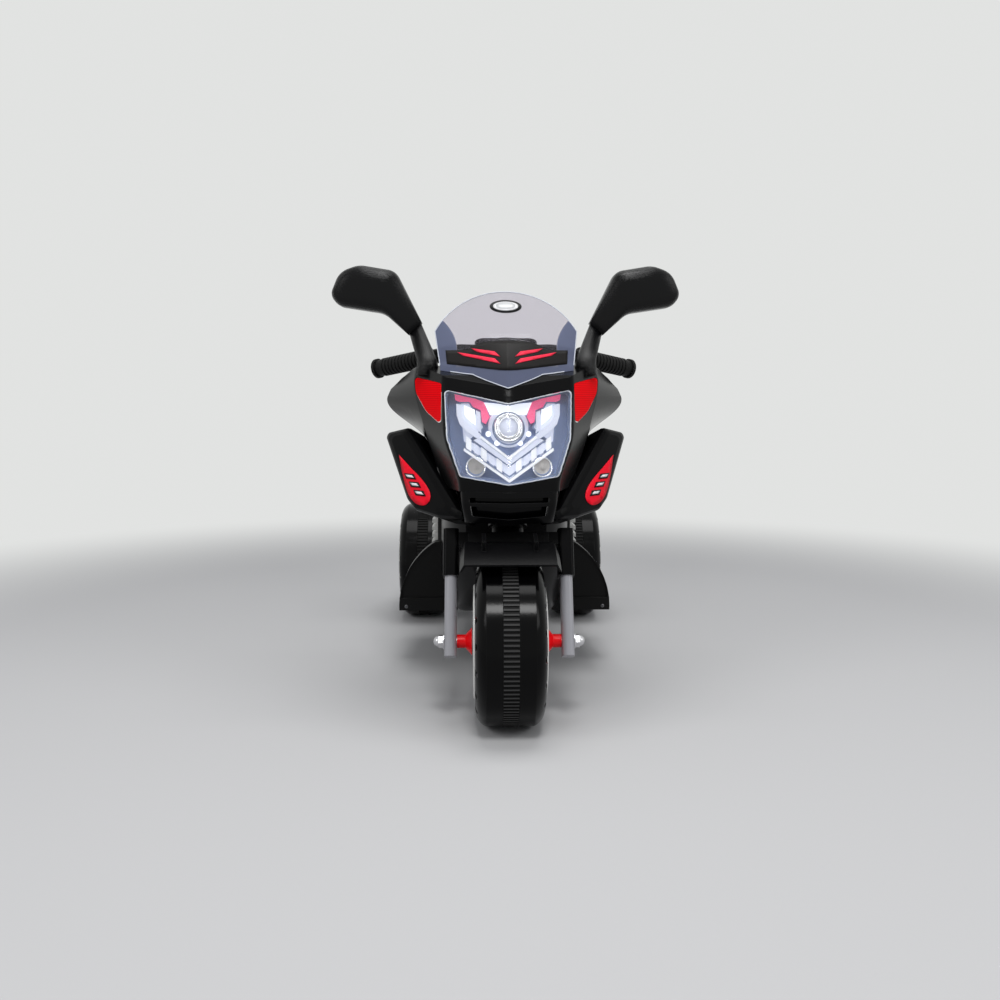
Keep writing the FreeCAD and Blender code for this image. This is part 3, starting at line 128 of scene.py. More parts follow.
for name, place, aim, size, power in (("key", (0.05, -1.55, 2.0), (0, -0.2, 0.25), 0.45, 18.0),
                                      ("left_fill", (-1.6, -1.4, 1.5), (0, -0.2, 0.25), 0.9, 10.0),
                                      ("right_fill", (1.7, -1.2, 1.3), (0, -0.2, 0.25), 0.9, 8.0),
                                      ("top", (0.1, -0.2, 2.1), (0, -0.2, 0.2), 1.0, 16.0)):
    lamp = bpy.data.lights.new(name, "AREA")
    lamp.size = size
    lamp.energy = power
    holder = bpy.data.objects.new(name, lamp)
    holder.location = place
    holder.rotation_euler = (Vector(aim) - Vector(place)).to_track_quat("-Z", "Y").to_euler()
    scene.collection.objects.link(holder)


# Body: two half shells of black polypropylene, screwed together along the middle. They carry the
# steering head in front and the rear axle behind. The mould gives them a satin gloss.
def moulded(name, colour, rough, grain=1400.0, depth=0.06, coat=0.0, shine=0.5, ease=0.0008, rub_and_sheen=0.02):
    """Injection-moulded plastic: flow marks in colour and gloss, fine grain, eased edges painted lighter,
    partly as rub wear and partly as a painted edge highlight.
    """
    made = bpy.data.materials.new(name)
    made.use_nodes = True
    tree = made.node_tree
    skin = tree.nodes["Principled BSDF"]
    spot = add(tree, "ShaderNodeTexCoord")
    flow = add(tree, "ShaderNodeTexNoise", Vector=spot.outputs["Object"], Scale=11.0, Detail=4.0)
    shade = add(tree, "ShaderNodeMixRGB", Fac=flow.outputs[0])
    shade.inputs["Color1"].default_value = (*[c * 0.8 for c in colour], 1)
    shade.inputs["Color2"].default_value = (*[min(1.0, c * 1.2) for c in colour], 1)
    edge = add(tree, "ShaderNodeBevel", Radius=ease)
    edge.samples = 4
    face = add(tree, "ShaderNodeNewGeometry")
    # Edges are painted lighter: partly rub wear, partly a painted highlight for the light they catch.
    lean = add(tree, "ShaderNodeVectorMath", i_0=edge.outputs[0], i_1=face.outputs["Normal"])
    lean.operation = "DOT_PRODUCT"
    edge_wear_and_sheen = ramp(tree, lean.outputs["Value"], 0.99, 0.80)
    worn_and_sheen = add(tree, "ShaderNodeMixRGB", Fac=edge_wear_and_sheen, Color1=shade.outputs[0])
    worn_and_sheen.inputs["Color2"].default_value = (*[min(1.0, c * 1.1 + rub_and_sheen) for c in colour], 1)
    tree.links.new(worn_and_sheen.outputs[0], skin.inputs["Base Color"])
    gloss = add(tree, "ShaderNodeMapRange", Value=flow.outputs[0], To_Min=rough - 0.05, To_Max=rough + 0.07)
    tree.links.new(gloss.outputs[0], skin.inputs["Roughness"])
    fine = add(tree, "ShaderNodeTexNoise", Vector=spot.outputs["Object"], Scale=grain, Detail=2.0)
    bump = add(tree, "ShaderNodeBump", Strength=depth, Distance=0.0004, Height=fine.outputs[0],
               Normal=edge.outputs[0])
    tree.links.new(bump.outputs[0], skin.inputs["Normal"])
    skin.inputs["Specular IOR Level"].default_value = shine
    skin.inputs["Coat Weight"].default_value = coat
    skin.inputs["Coat Roughness"].default_value = 0.12
    return made


def shader(finish):
    """The shader of a finish, with its colour, gloss and metal."""
    return finish.node_tree.nodes["Principled BSDF"]


def dress(finish, *nodes):
    """Gives CAD nodes their finish."""
    for node in nodes:
        piece = frame["nodes"][node]
        for slot in piece.material_slots:
            slot.material = finish


def skin_of(node):
    """Search tree of a CAD node's surface."""
    source = frame["nodes"][node].data
    points = [v.co.copy() for v in source.vertices]
    return BVHTree.FromPolygons(points, [p.vertices[:] for p in source.polygons])


def ring_faces(rings, turns):
    """Faces that join rings of points, each ring to the next."""
    faces = []
    for i in range(rings - 1):
        for k in range(turns):
            n = (k + 1) % turns
            faces.append((i * turns + k, i * turns + n, (i + 1) * turns + n, (i + 1) * turns + k))
    return faces


SCREW_TURNS = 32
SCREW_PROFILE = ((0.02, 0.36), (0.3, 0.36), (0.56, 0.34), (0.60, 0.32), (0.85, 0.22), (0.97, 0.08),
                 (1.0, -0.1))
SLOT_REACH = 0.58
SLOT_HUB = 0.2
SLOT_SPREAD = 0.42
SLOT_DEPTH = 0.34


def screw(name, node, start, along, head=2.9, body="frame"):
    """Pan-head screw with a cross slot, seated where a line from start, in mm, meets a CAD node."""
    spot, out, _, _ = skin_of(node).ray_cast(Vector(start) / 1000, Vector(along))
    if out.dot(Vector(along)) > 0:
        out = -out
    turn = out.to_track_quat("Z", "Y")
    points = []
    for r, h in SCREW_PROFILE:
        for k in range(SCREW_TURNS):
            a = 2 * math.pi * k / SCREW_TURNS
            in_slot = r < SLOT_REACH and (r < SLOT_HUB or abs(math.sin(2 * a)) < SLOT_SPREAD)
            flat = Vector((r * math.cos(a), r * math.sin(a), h - (SLOT_DEPTH if in_slot else 0.0)))
            points.append(spot + turn @ (flat * head / 1000))
    mesh = bpy.data.meshes.new(name)
    mesh.from_pydata(points, [], ring_faces(len(SCREW_PROFILE), SCREW_TURNS))
    mesh.materials.append(screw_zinc)
    made = bpy.data.objects.new(name, mesh)
    scene.collection.objects.link(made)
    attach(made, body)


screw_zinc = moulded("screw_zinc", (0.16, 0.16, 0.17), 0.35, grain=900.0)
shader(screw_zinc).inputs["Metallic"].default_value = 0.9
shell_satin = moulded("shell_satin", (0.006, 0.006, 0.0065), 0.30, grain=700.0, depth=0.10, shine=0.25,
                      rub_and_sheen=0.03)
shader(shell_satin).inputs["IOR"].default_value = 1.4
dress(shell_satin, "body_shell_left", "body_shell_right")
SHELL_SCREWS = ((-78, 306), (46, 112), (132, 104), (70, 222), (262, 236))
BESIDE_BODY = 160
for k, (y, z) in enumerate(SHELL_SCREWS):
    for side, word in ((1, "left"), (-1, "right")):
        start = (side * BESIDE_BODY, y, z)
        screw("shell_screw_%s_%d" % (word, k), "body_shell_" + word, start, (-side, 0, 0))

# Tank cover, dash and tail: separate black covers clipped into the body's top edge. The seat is a
# grained saddle moulding that drops over the battery. The tail light is a ribbed red cap.
grained_black = moulded("grained_black", (0.004, 0.004, 0.004), 0.42, grain=420.0, depth=0.25, shine=0.12)
red_gloss = moulded("red_gloss", (0.76, 0.004, 0.008), 0.25, shine=0.15)
cover_gloss = moulded("cover_gloss", (0.005, 0.005, 0.0055), 0.22, shine=0.26)
seat_grain = moulded("seat_grain", (0.008, 0.008, 0.008), 0.48, grain=330.0, depth=0.55, shine=0.2)
dress(cover_gloss, "tank_cover", "tail_cover")
dress(seat_grain, "seat")
dress(grained_black, "dash_panel")
dress(red_gloss, "power_button", "direction_switch")


def clear_plastic(name, colour, through, rough, bend, shine=0.12):
    """Clear thin moulding; bend is how strongly it bends and mirrors light."""
    made = moulded(name, colour, rough, depth=0.0, shine=shine, rub_and_sheen=0.0)
    skin = shader(made)
    skin.inputs["Transmission Weight"].default_value = through
    skin.inputs["IOR"].default_value = bend
    return made


def overlay(finish, share, colour):
    """Lays a second colour over a finish, fully where share is 1."""
    ground = shader(finish).inputs["Base Color"]
    plain = ground.links[0].from_socket
    mixed = add(finish.node_tree, "ShaderNodeMixRGB", Fac=share, Color1=plain, Color2=(*colour, 1))
    finish.node_tree.links.new(mixed.outputs[0], ground)


red_clear = clear_plastic("red_clear", (0.92, 0.001, 0.006), 0.0, 0.10, 1.14, shine=0.06)
cap_spot = add(red_clear.node_tree, "ShaderNodeTexCoord")
prisms = add(red_clear.node_tree, "ShaderNodeTexWave", Vector=cap_spot.outputs["Object"], Scale=130.0,
             Distortion=0.0)
prisms.bands_direction = "Z"
overlay(red_clear, prisms.outputs["Fac"], (0.72, 0.0, 0.003))
dress(red_clear, "tail_light")

# Steering head: a zinc-plated steel stem carries the bars and the fork. It turns in two black nylon
# bushes pressed into the body's neck.
bare_steel = moulded("bare_steel", (0.58, 0.58, 0.60), 0.28, grain=700.0, depth=0.05)
shader(bare_steel).inputs["Metallic"].default_value = 1.0
black_nylon = moulded("black_nylon", (0.003, 0.003, 0.003), 0.5, shine=0.1)
dress(bare_steel, "steering_stem")
dress(black_nylon, "steering_bushes")

# Fork: black posts on a moulded crown, with silver-grey leg sleeves pushed up into them and held by
# the axle. The beaked mudguard is fixed to the crown's front.
satin_black = moulded("satin_black", (0.0012, 0.0012, 0.0015), 0.28, shine=0.06)
silver_grey = moulded("silver_grey", (0.29, 0.29, 0.315), 0.34, coat=0.1)
guard_black = moulded("guard_black", (0.003, 0.003, 0.0034), 0.34, shine=0.08)
dress(satin_black, "fork_crown")
dress(guard_black, "mudguard")
dress(silver_grey, "fork_leg_left", "fork_leg_right")

# Wheels: hollow blow-moulded tyres in black polyethylene with a ribbed rubber band let into the
# tread, and two silver rim discs snapped in. Red cones keep the front wheel between the legs.
tyre_black = moulded("tyre_black", (0.0010, 0.0010, 0.0012), 0.16, grain=500.0, depth=0.05, shine=0.1)
rim_silver = moulded("rim_silver", (0.62, 0.62, 0.60), 0.30, coat=0.3)
WHEEL_R = 0.090
FRONT_AXLE_Y = -0.310
REAR_AXLE_Y = 0.220
BAND_RIBS = 110
RIB_LINE_EDGE = 0.20
RIB_LINE_FULL = 0.12


def ribbed_rubber(name, axle_y, rib_highlight_grey):
    """Band rubber with a pale line along each rib as a painted highlight; axle_y is where the wheel turns.
    """
    made = moulded(name, (0.003, 0.003, 0.003), 0.46, grain=900.0, depth=0.2, shine=0.09)
    tree = made.node_tree
    spot = add(tree, "ShaderNodeTexCoord")
    axes = add(tree, "ShaderNodeSeparateXYZ", Vector=spot.outputs["Object"])
    above = math_step(tree, "SUBTRACT", axes.outputs["Z"], WHEEL_R)
    behind = math_step(tree, "SUBTRACT", axes.outputs["Y"], axle_y)
    angle = math_step(tree, "ARCTAN2", above, behind)
    ribs = math_step(tree, "MULTIPLY", angle, BAND_RIBS / (2 * math.pi))
    within = math_step(tree, "SUBTRACT", math_step(tree, "FRACT", ribs), 0.5)
    rib_highlight = ramp(tree, math_step(tree, "ABSOLUTE", within), RIB_LINE_EDGE, RIB_LINE_FULL)
    overlay(made, rib_highlight, (rib_highlight_grey, rib_highlight_grey, rib_highlight_grey))
    return made


# The rib highlight grey is painted brighter on the front wheel, in the light, than on the rear wheels, in
# shade.
for wheel, axle_y, rib_highlight_grey in (("front", FRONT_AXLE_Y, 0.05), ("rear_left", REAR_AXLE_Y, 0.006),
                             ("rear_right", REAR_AXLE_Y, 0.006)):
    dress(tyre_black, wheel + "_tyre")
    dress(ribbed_rubber(wheel + "_rubber", axle_y, rib_highlight_grey), wheel + "_band")
    dress(rim_silver, wheel + "_rims")
dress(red_gloss, "front_spacer_cones")
dress(bare_steel, "front_axle", "front_axle_nuts", "rear_axle", "rear_axle_nuts")

# Handlebar: one black moulding clamped on the stem, with ribbed rubber grips pushed over its ends
# and two sprung buttons in the middle pad.
STEM_BOLT_HEAD = 7.5
dress(satin_black, "handlebar")
steer_axis = Vector(next(j for j in frame["joints"] if j["name"] == "steer")["axis"]).normalized()
stem_points = [v.co for v in frame["nodes"]["steering_stem"].data.vertices]
stem_high = max(p.dot(steer_axis) for p in stem_points)
stem_end = [p for p in stem_points if p.dot(steer_axis) > stem_high - 0.0003]
stem_top = sum(stem_end, Vector()) / len(stem_end)
screw("stem_bolt", "steering_stem", (stem_top + steer_axis * 0.03) * 1000, -steer_axis, head=STEM_BOLT_HEAD,
      body="steering")
grip_rubber = moulded("grip_rubber", (0.005, 0.005, 0.005), 0.46, grain=900.0, depth=0.2, shine=0.16)
dress(grip_rubber, "grip_left", "grip_right")
dress(red_gloss, "horn_button", "music_button")

# Nose fairing: the main front moulding, glossy black, with the chin and its intake slot below.
# Lugs on the fairing's back hold it to the body.
gloss_black = moulded("gloss_black", (0.0015, 0.0015, 0.0018), 0.16, shine=0.1)
dress(gloss_black, "front_fairing", "nose_chin")

# Headlight: a clear lens over a blue-grey tray with a projector, blades, two chevrons with a row of
# light cells between them and two round lamps. Most pieces are lit from behind, the rings are
# metallised, and red film shades the upper corners.
lens_clear = clear_plastic("lens_clear", (0.93, 0.95, 1.0), 0.97, 0.02, 1.16)
tray_blue = moulded("tray_blue", (0.19, 0.25, 0.42), 0.35, shine=0.2)
dress(lens_clear, "headlight_lens")
dress(tray_blue, "headlight_reflector")


def lit_plastic(name, colour, strength):
    """Pale plastic with a lamp behind it."""
    made = moulded(name, colour, 0.25)
    skin = shader(made)
    skin.inputs["Emission Color"].default_value = (*colour, 1)
    skin.inputs["Emission Strength"].default_value = strength
    return made


lit_white = lit_plastic("lit_white", (0.92, 0.94, 0.97), 0.8)
lit_lavender = lit_plastic("lit_lavender", (0.66, 0.69, 0.80), 0.3)
lit_edge = lit_plastic("lit_edge", (0.84, 0.86, 0.92), 0.28)
rose_film = lit_plastic("rose_film", (0.86, 0.11, 0.25), 0.6)
warm_dish = lit_plastic("warm_dish", (0.40, 0.38, 0.36), 0.04)
bright_chrome = moulded("bright_chrome", (0.90, 0.91, 0.94), 0.14)
shader(bright_chrome).inputs["Metallic"].default_value = 0.85
dress(lit_lavender, "headlight_lamps")
TRAY_FOOT_Y = -324
TRAY_FOOT_Z = 268
TRAY_SLANT = 0.575
TRAY_VEE = 13 / 68
TRAY_FLOOR = 21.0
LAMP_TURNS = 64
ROUND_LAMP = (35.6, 276.6)
PROJECTOR_Z = 318.6
CELL_START = 7.2
CELL_WIDE = 6.2
CELL_STEP = 8.2
CELL_FOOT_Z = 266
CELL_FOOT_RISE = 0.655
CELL_TOP_Z = 277.4
CELL_TOP_RISE = 0.687


def behind_lens(x, z, depth):
    """A point in the tray, from mm: it slants back as it rises and is V-shaped seen from above."""
    y = TRAY_FOOT_Y + (z - TRAY_FOOT_Z) * TRAY_SLANT + TRAY_VEE * abs(x) + depth
    return Vector((x, y, z)) / 1000


def in_tray(name, mesh, finish, ease):
    """Places a finished lamp piece on the body, with eased edges."""
    made = bpy.data.objects.new(name, mesh)
    scene.collection.objects.link(made)
    mesh.materials.append(finish)
    if ease:
        edge = made.modifiers.new("eased_edges", "BEVEL")
        edge.width = ease
        edge.segments = 2
        edge.limit_method = "ANGLE"
    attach(made, "frame")


def tray_block(name, outline, front, finish, ease=0.0005):
    """A raised block in the lamp tray, its outline in mm as seen from the front."""
    mesh = bpy.data.meshes.new(name)
    work = bmesh.new()
    near = [work.verts.new(behind_lens(x, z, front)) for x, z in outline]
    far = [work.verts.new(behind_lens(x, z, TRAY_FLOOR)) for x, z in outline]
    rim = [work.edges.new((near[i - 1], near[i])) for i in range(len(near))]
    for i in range(len(near)):
        work.faces.new((near[i - 1], near[i], far[i], far[i - 1]))
    bmesh.ops.triangle_fill(work, edges=rim, use_beauty=True)
    bmesh.ops.recalc_face_normals(work, faces=work.faces[:])
    work.to_mesh(mesh)
    work.free()
    in_tray(name, mesh, finish, ease)


def tray_round(name, x, z, profile, finish, flutes=0, wave=0.0, vee=TRAY_VEE):
    """A round lamp piece from radius and depth steps in mm, leaning with the tray; flutes ripple it."""
    centre = behind_lens(x, z, 0)
    points = []
    for r, depth in profile:
        for k in range(LAMP_TURNS):
            a = 2 * math.pi * k / LAMP_TURNS
            across, rise = r * math.cos(a), r * math.sin(a)
            ripple = wave * math.cos(flutes * a) * r / profile[-1][0]
            lean_back = TRAY_SLANT * rise + vee * (abs(x + across) - abs(x))
            points.append(centre + Vector((across, depth + ripple + lean_back, rise)) / 1000)
    mesh = bpy.data.meshes.new(name)
    mesh.from_pydata(points, [], ring_faces(len(profile), LAMP_TURNS))
    for face in mesh.polygons:
        face.use_smooth = True
    in_tray(name, mesh, finish, 0)


def both_halves(half):
    """Whole outline from its half on the +X side, given from the middle out and back."""
    return half + [(-x, z) for x, z in reversed(half) if x]


chevron_upper = [(0, 284.4), (31, 307.2), (29.6, 309.4), (0, 287.4)]
chevron_veil = [(0, 278.6), (38, 304.6), (31.6, 306.8), (0, 283.8)]
chevron_lower = [(0, 261.4), (48.6, 293.6), (48.2, 296.2), (0, 264.4)]
middle_cell = [(0, 265.4), (5.4, 269), (5.4, 281.4), (0, 277.8)]
lit_panel = [(0, 332), (20, 331), (26.4, 345), (0, 342.6)]
for name, half, front, finish in (("chevron_upper", chevron_upper, 7, lit_edge),
                                  ("chevron_veil", chevron_veil, 10, lit_lavender),
                                  ("chevron_lower", chevron_lower, 7, lit_edge),
                                  ("middle_cell", middle_cell, 13, lit_lavender),
                                  ("lit_panel", lit_panel, 16, lit_white)):
    tray_block(name, both_halves(half), front, finish)


def cell_outline(k):
    """Outline of a light cell in mm; its foot and its top rise outwards with the chevrons."""
    near = CELL_START + CELL_STEP * k
    far = near + CELL_WIDE
    foot = [(x, CELL_FOOT_Z + CELL_FOOT_RISE * x) for x in (near, far)]
    return foot + [(x, CELL_TOP_Z + CELL_TOP_RISE * x) for x in (far, near)]


blade = [(57, 343.6), (56.4, 331), (53, 321.4), (46, 313.8), (37.6, 308.4), (30.6, 304.6),
         (29.4, 310.2), (35.4, 315.2), (40.8, 319), (46.6, 324.6), (50, 331), (50.6, 342.6)]
pane = [(48.2, 341.8), (36.4, 337), (35.8, 320.4), (40.2, 323.6), (45, 327.6), (47.6, 331.4)]
bar = [(35.2, 336.4), (30.4, 334.2), (29.4, 311.4), (34.6, 317.2)]
rose = [(59.6, 357), (58, 347.4), (30, 336.4), (28.8, 323.6), (24.4, 321.4), (20.2, 329), (26.6, 345.4),
        (53.6, 356)]
ring_profile = [(9.0, 18), (9.0, 10.4), (9.6, 9.8), (10.4, 9.8), (10.8, 10.6), (10.8, 20)]
dish_profile = [(0.2, 12), (2.2, 12.1), (3, 13.2), (6, 12.6), (8.9, 11.4)]
spark_profile = [(0.1, 13.4), (1.8, 13.8), (2.8, 15), (3.1, 20)]
lamp_x, lamp_z = ROUND_LAMP
for side, word in ((1, "left"), (-1, "right")):
    for name, shape, front, finish in (("blade", blade, 9, lit_lavender), ("pane", pane, 11, lit_white),
                                       ("bar", bar, 11.5, lit_lavender), ("rose", rose, 17, rose_film)):
        tray_block(name + "_" + word, [(side * x, z) for x, z in shape], front, finish)
    for k in range(5):
        tray_block("cell_%s_%d" % (word, k), [(side * x, z) for x, z in cell_outline(k)], 12 + k % 2,
                   lit_lavender if k % 2 else lit_edge, 0.001)
    tray_round("lamp_ring_" + word, side * lamp_x, lamp_z, ring_profile, bright_chrome)
    tray_round("lamp_dish_" + word, side * lamp_x, lamp_z, dish_profile, warm_dish, flutes=16, wave=0.35)
    for k, (x, z) in enumerate(((21.8, 311), (12.4, 301.6))):
        tray_round("spark_%s_%d" % (word, k), side * x, z, spark_profile, lit_white)
halo_profile = [(15.6, 16.6), (18, 17), (21, 17.6), (22, 21)]
bezel_profile = [(9.6, 15), (9.8, 11), (10.4, 10.2), (11.2, 10.4), (11.6, 12.6), (13.0, 12.6),
                 (13.4, 11.2), (14.4, 10.8), (15.2, 11.4), (16.2, 14), (16.4, 21)]
dome_profile = [(0.2, 8.6), (1.4, 8.7), (1.8, 9.4), (2.4, 9), (4.5, 9.5), (7, 11), (8.8, 13), (9.6, 15)]
tray_round("projector_halo", 0, PROJECTOR_Z, halo_profile, lit_lavender, flutes=12, wave=0.5)
tray_round("projector_bezel", 0, PROJECTOR_Z, bezel_profile, bright_chrome, vee=0)
tray_round("projector_dome", 0, PROJECTOR_Z, dome_profile, lit_lavender, vee=0)


def seen_from_front(skin, x, z):
    """The hit of a line that runs back from the front at x and z, in metres, on a search tree."""
    return skin.ray_cast(Vector((x, -1.0, z)), Vector((0, 1, 0)))


def face_forward(work):
    """Turns all faces of a front piece to the front."""
    bmesh.ops.recalc_face_normals(work, faces=work.faces[:])
    if sum(f.normal.y for f in work.faces) > 0:
        bmesh.ops.reverse_faces(work, faces=work.faces[:])


EDGE_HIGH = 0.0006
EDGE_SPACING = 2
EDGE_PUSH = 0.4
EDGE_PUSHES = 20
LEAST_FACING = 0.2


def edge_line(node, name, line, inward, finish, closed=True, wide=1.1):
    """A thin raised pale strip along a CAD node's edge, a painted edge highlight: points in mm seen from
    the front, and a point it turns to.
    """
    skin = skin_of(node)
    points = []
    ends = line[1:] + line[:1] if closed else line[1:]
    for (ax, az), (bx, bz) in zip(line, ends):
        count = max(1, int(math.hypot(bx - ax, bz - az) / EDGE_SPACING))
        for k in range(count):
            points.append(Vector((ax + (bx - ax) * k / count, az + (bz - az) * k / count)))
    if not closed:
        points.append(Vector(line[-1]))
    rows = []
    for p in points:
        to = (Vector(inward) - p).normalized()
        for push in range(EDGE_PUSHES):
            at = p + to * push * EDGE_PUSH
            hits = [seen_from_front(skin, q.x / 1000, q.y / 1000) for q in (at, at + to * wide)]
            found = hits[0][0] is not None and hits[1][0] is not None
            if found and abs(hits[0][1].y) > LEAST_FACING:
                rows.append([h[0] for h in hits])
                break
    n = len(rows)
    mesh = bpy.data.meshes.new(name)
    spans = n if closed else n - 1
    faces = [(2 * i, 2 * ((i + 1) % n), 2 * ((i + 1) % n) + 1, 2 * i + 1) for i in range(spans)]
    mesh.from_pydata([v for row in rows for v in row], [], faces)
    work = bmesh.new()
    work.from_mesh(mesh)
    face_forward(work)
    work.to_mesh(mesh)
    work.free()
    mesh.materials.append(finish)
    made = bpy.data.objects.new(name, mesh)
    scene.collection.objects.link(made)
    raised = made.modifiers.new("raised", "SOLIDIFY")
    raised.thickness = EDGE_HIGH
    raised.offset = 1.0
    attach(made, "frame")


# The pale grey of these strips is a painted highlight along the lens rim and the windshield's edges.
painted_edge_highlight = moulded("painted_edge_highlight", (0.60, 0.63, 0.70), 0.18, rub_and_sheen=0.0)
lens_half = [(0, 259), (52.5, 267), (67, 307), (70, 359), (0, 344)]
edge_line("headlight_lens", "lens_edge", both_halves(lens_half), (0, 305), painted_edge_highlight)
dress(red_clear, "side_lenses")

# Windshield: a thin clear sheet, vacuum formed, tucked behind the fairing's rim. Its foot and its two
# sides are smoked blue. A dark printed band with red stripes lies across it, and an oval patch above.
SHIELD_TINT = (0.73, 0.70, 0.765)
SMOKED_TINT = (0.16, 0.18, 0.27)
SHIELD_THROUGH = 0.97
SMOKED_THROUGH = 0.45
SMOKED_X = 0.057
SMOKED_Z = 0.404
SMOKED_BOW = 12.7
SMOKED_SOFT = 0.0006
SMOKED_FOOT_EDGE = 0.392
SMOKED_FOOT_FULL = 0.384
shield_clear = clear_plastic("shield_clear", SHIELD_TINT, SHIELD_THROUGH, 0.02, 1.08)
shield_tree = shield_clear.node_tree
shield_spot = add(shield_tree, "ShaderNodeTexCoord")
shield_axes = add(shield_tree, "ShaderNodeSeparateXYZ", Vector=shield_spot.outputs["Object"])
out_x = math_step(shield_tree, "ABSOLUTE", shield_axes.outputs["X"])
above_band = math_step(shield_tree, "SUBTRACT", shield_axes.outputs["Z"], SMOKED_Z)
up = math_step(shield_tree, "MAXIMUM", above_band)
bow = math_step(shield_tree, "MULTIPLY", math_step(shield_tree, "MULTIPLY", up, up), SMOKED_BOW)
past_line = math_step(shield_tree, "SUBTRACT", out_x, math_step(shield_tree, "ADD", bow, SMOKED_X))
smoked_sides = ramp(shield_tree, past_line, -SMOKED_SOFT, SMOKED_SOFT)
smoked_foot = ramp(shield_tree, shield_axes.outputs["Z"], SMOKED_FOOT_EDGE, SMOKED_FOOT_FULL)
smoked = math_step(shield_tree, "MAXIMUM", smoked_sides, smoked_foot)
tint = add(shield_tree, "ShaderNodeMixRGB", Fac=smoked, Color1=(*SHIELD_TINT, 1), Color2=(*SMOKED_TINT, 1))
through = add(shield_tree, "ShaderNodeMapRange", Value=smoked, To_Min=SHIELD_THROUGH, To_Max=SMOKED_THROUGH)
shield_tree.links.new(tint.outputs[0], shader(shield_clear).inputs["Base Color"])
shield_tree.links.new(through.outputs[0], shader(shield_clear).inputs["Transmission Weight"])
dress(shield_clear, "windshield")
CURVE_STEPS = 6
FILM_THICK = 0.0004
FILM_MESH = 0.006


def smooth_outline(points):
    """Closed outline through the points; a point given as (x, z, 0) stays a sharp corner."""
    out = []
    n = len(points)
    for i in range(n):
        p0, p1, p2, p3 = (Vector(points[(i + k) % n][:2]) for k in (-1, 0, 1, 2))
        if len(points[i]) > 2:
            p0 = p1 + (p1 - p2)
        if len(points[(i + 1) % n]) > 2:
            p3 = p2 + (p2 - p1)
        straight = len(points[i]) > 2 and len(points[(i + 1) % n]) > 2
        for k in range(1 if straight else CURVE_STEPS):
            t = k / CURVE_STEPS
            a = 2 * p1 + (p2 - p0) * t + (2 * p0 - 5 * p1 + 4 * p2 - p3) * t * t
            out.append((a + (3 * p1 - p0 - 3 * p2 + p3) * t ** 3) / 2)
    return out


def lay_on(node, name, outline, finish, lift=0.0002, flip=1):
    """A printed film: an outline seen from the front, in mm, laid on a CAD node's outer skin."""
    mesh = bpy.data.meshes.new(name)
    work = bmesh.new()
    ring = [work.verts.new((flip * p.x / 1000, 0, p.y / 1000)) for p in smooth_outline(outline)]
    edges = [work.edges.new((ring[i - 1], ring[i])) for i in range(len(ring))]
    bmesh.ops.triangle_fill(work, edges=edges, use_beauty=True)
    for _ in range(5):
        long = [e for e in work.edges if e.calc_length() > FILM_MESH]
        if not long:
            break
        bmesh.ops.subdivide_edges(work, edges=long, cuts=1)
        bmesh.ops.triangulate(work, faces=work.faces[:])
    skin = skin_of(node)
    for v in work.verts:
        hit = seen_from_front(skin, v.co.x, v.co.z)
        if hit[0] is not None:
            out = hit[1] if hit[1].y < 0 else -hit[1]
            v.co = hit[0] + out * lift
    lost = [v for v in work.verts if v.co.y == 0.0]
    bmesh.ops.delete(work, geom=lost, context="VERTS")
    face_forward(work)
    work.to_mesh(mesh)
    work.free()
    made = bpy.data.objects.new(name, mesh)
    scene.collection.objects.link(made)
    mesh.materials.append(finish)
    for face in mesh.polygons:
        face.use_smooth = True
    film = made.modifiers.new("film", "SOLIDIFY")
    film.thickness = FILM_THICK
    film.offset = 1.0
    return made


film_black = moulded("film_black", (0.004, 0.004, 0.005), 0.33, shine=0.12)
film_smoke = moulded("film_smoke", (0.014, 0.013, 0.013), 0.35, shine=0.08)
film_rose = moulded("film_rose", (0.88, 0.03, 0.07), 0.30, shine=0.12)
film_white = moulded("film_white", (0.82, 0.82, 0.84), 0.35, shine=0.2)
film_silver = moulded("film_silver", (0.70, 0.71, 0.72), 0.25, shine=0.3)
band_half = [(68, 388, 0), (70, 404, 0), (46, 404), (36, 409.5), (20, 413), (0, 414)]
band_low = [(0, 380), (30, 383), (52, 386)]
band_outline = band_low + band_half + [(-p[0], *p[1:]) for p in reversed(band_half[:-1])]
band_outline += [(-p[0], p[1]) for p in reversed(band_low[1:])]
shield_band = lay_on("windshield", "shield_band", band_outline, film_smoke)
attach(shield_band, "frame")
PATCH_Z = 458
PATCH_POINTS = 16


def oval(wide, high):
    """Outline of a patch on the middle line, in mm."""
    turns = [2 * math.pi * k / PATCH_POINTS for k in range(PATCH_POINTS)]
    return [(wide * math.cos(a), PATCH_Z + high * math.sin(a)) for a in turns]


for name, wide, high, finish, slot, lift in (
        ("patch_edge", 19, 9, film_black, "shell_black", 0.0002),
        ("patch_ring", 15, 6.2, film_white, "reflector", 0.0007),
        ("patch_middle", 11.5, 4.2, film_silver, "reflector", 0.0012)):
    patch = lay_on("windshield", name, oval(wide, high), finish, lift=lift)
    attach(patch, "frame")
stripes = ([(8, 387, 0), (50, 397, 0), (56, 401, 0), (14, 393, 0)],
           [(8, 395, 0), (34, 401, 0), (40, 405, 0), (14, 401, 0)])
for side, word in ((1, "left"), (-1, "right")):
    for row, shape in enumerate(stripes):
        name = "shield_stripe_%s_%d" % (word, row)
        stripe = lay_on("windshield", name, shape, film_rose, lift=0.0008, flip=side)
        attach(stripe, "frame")

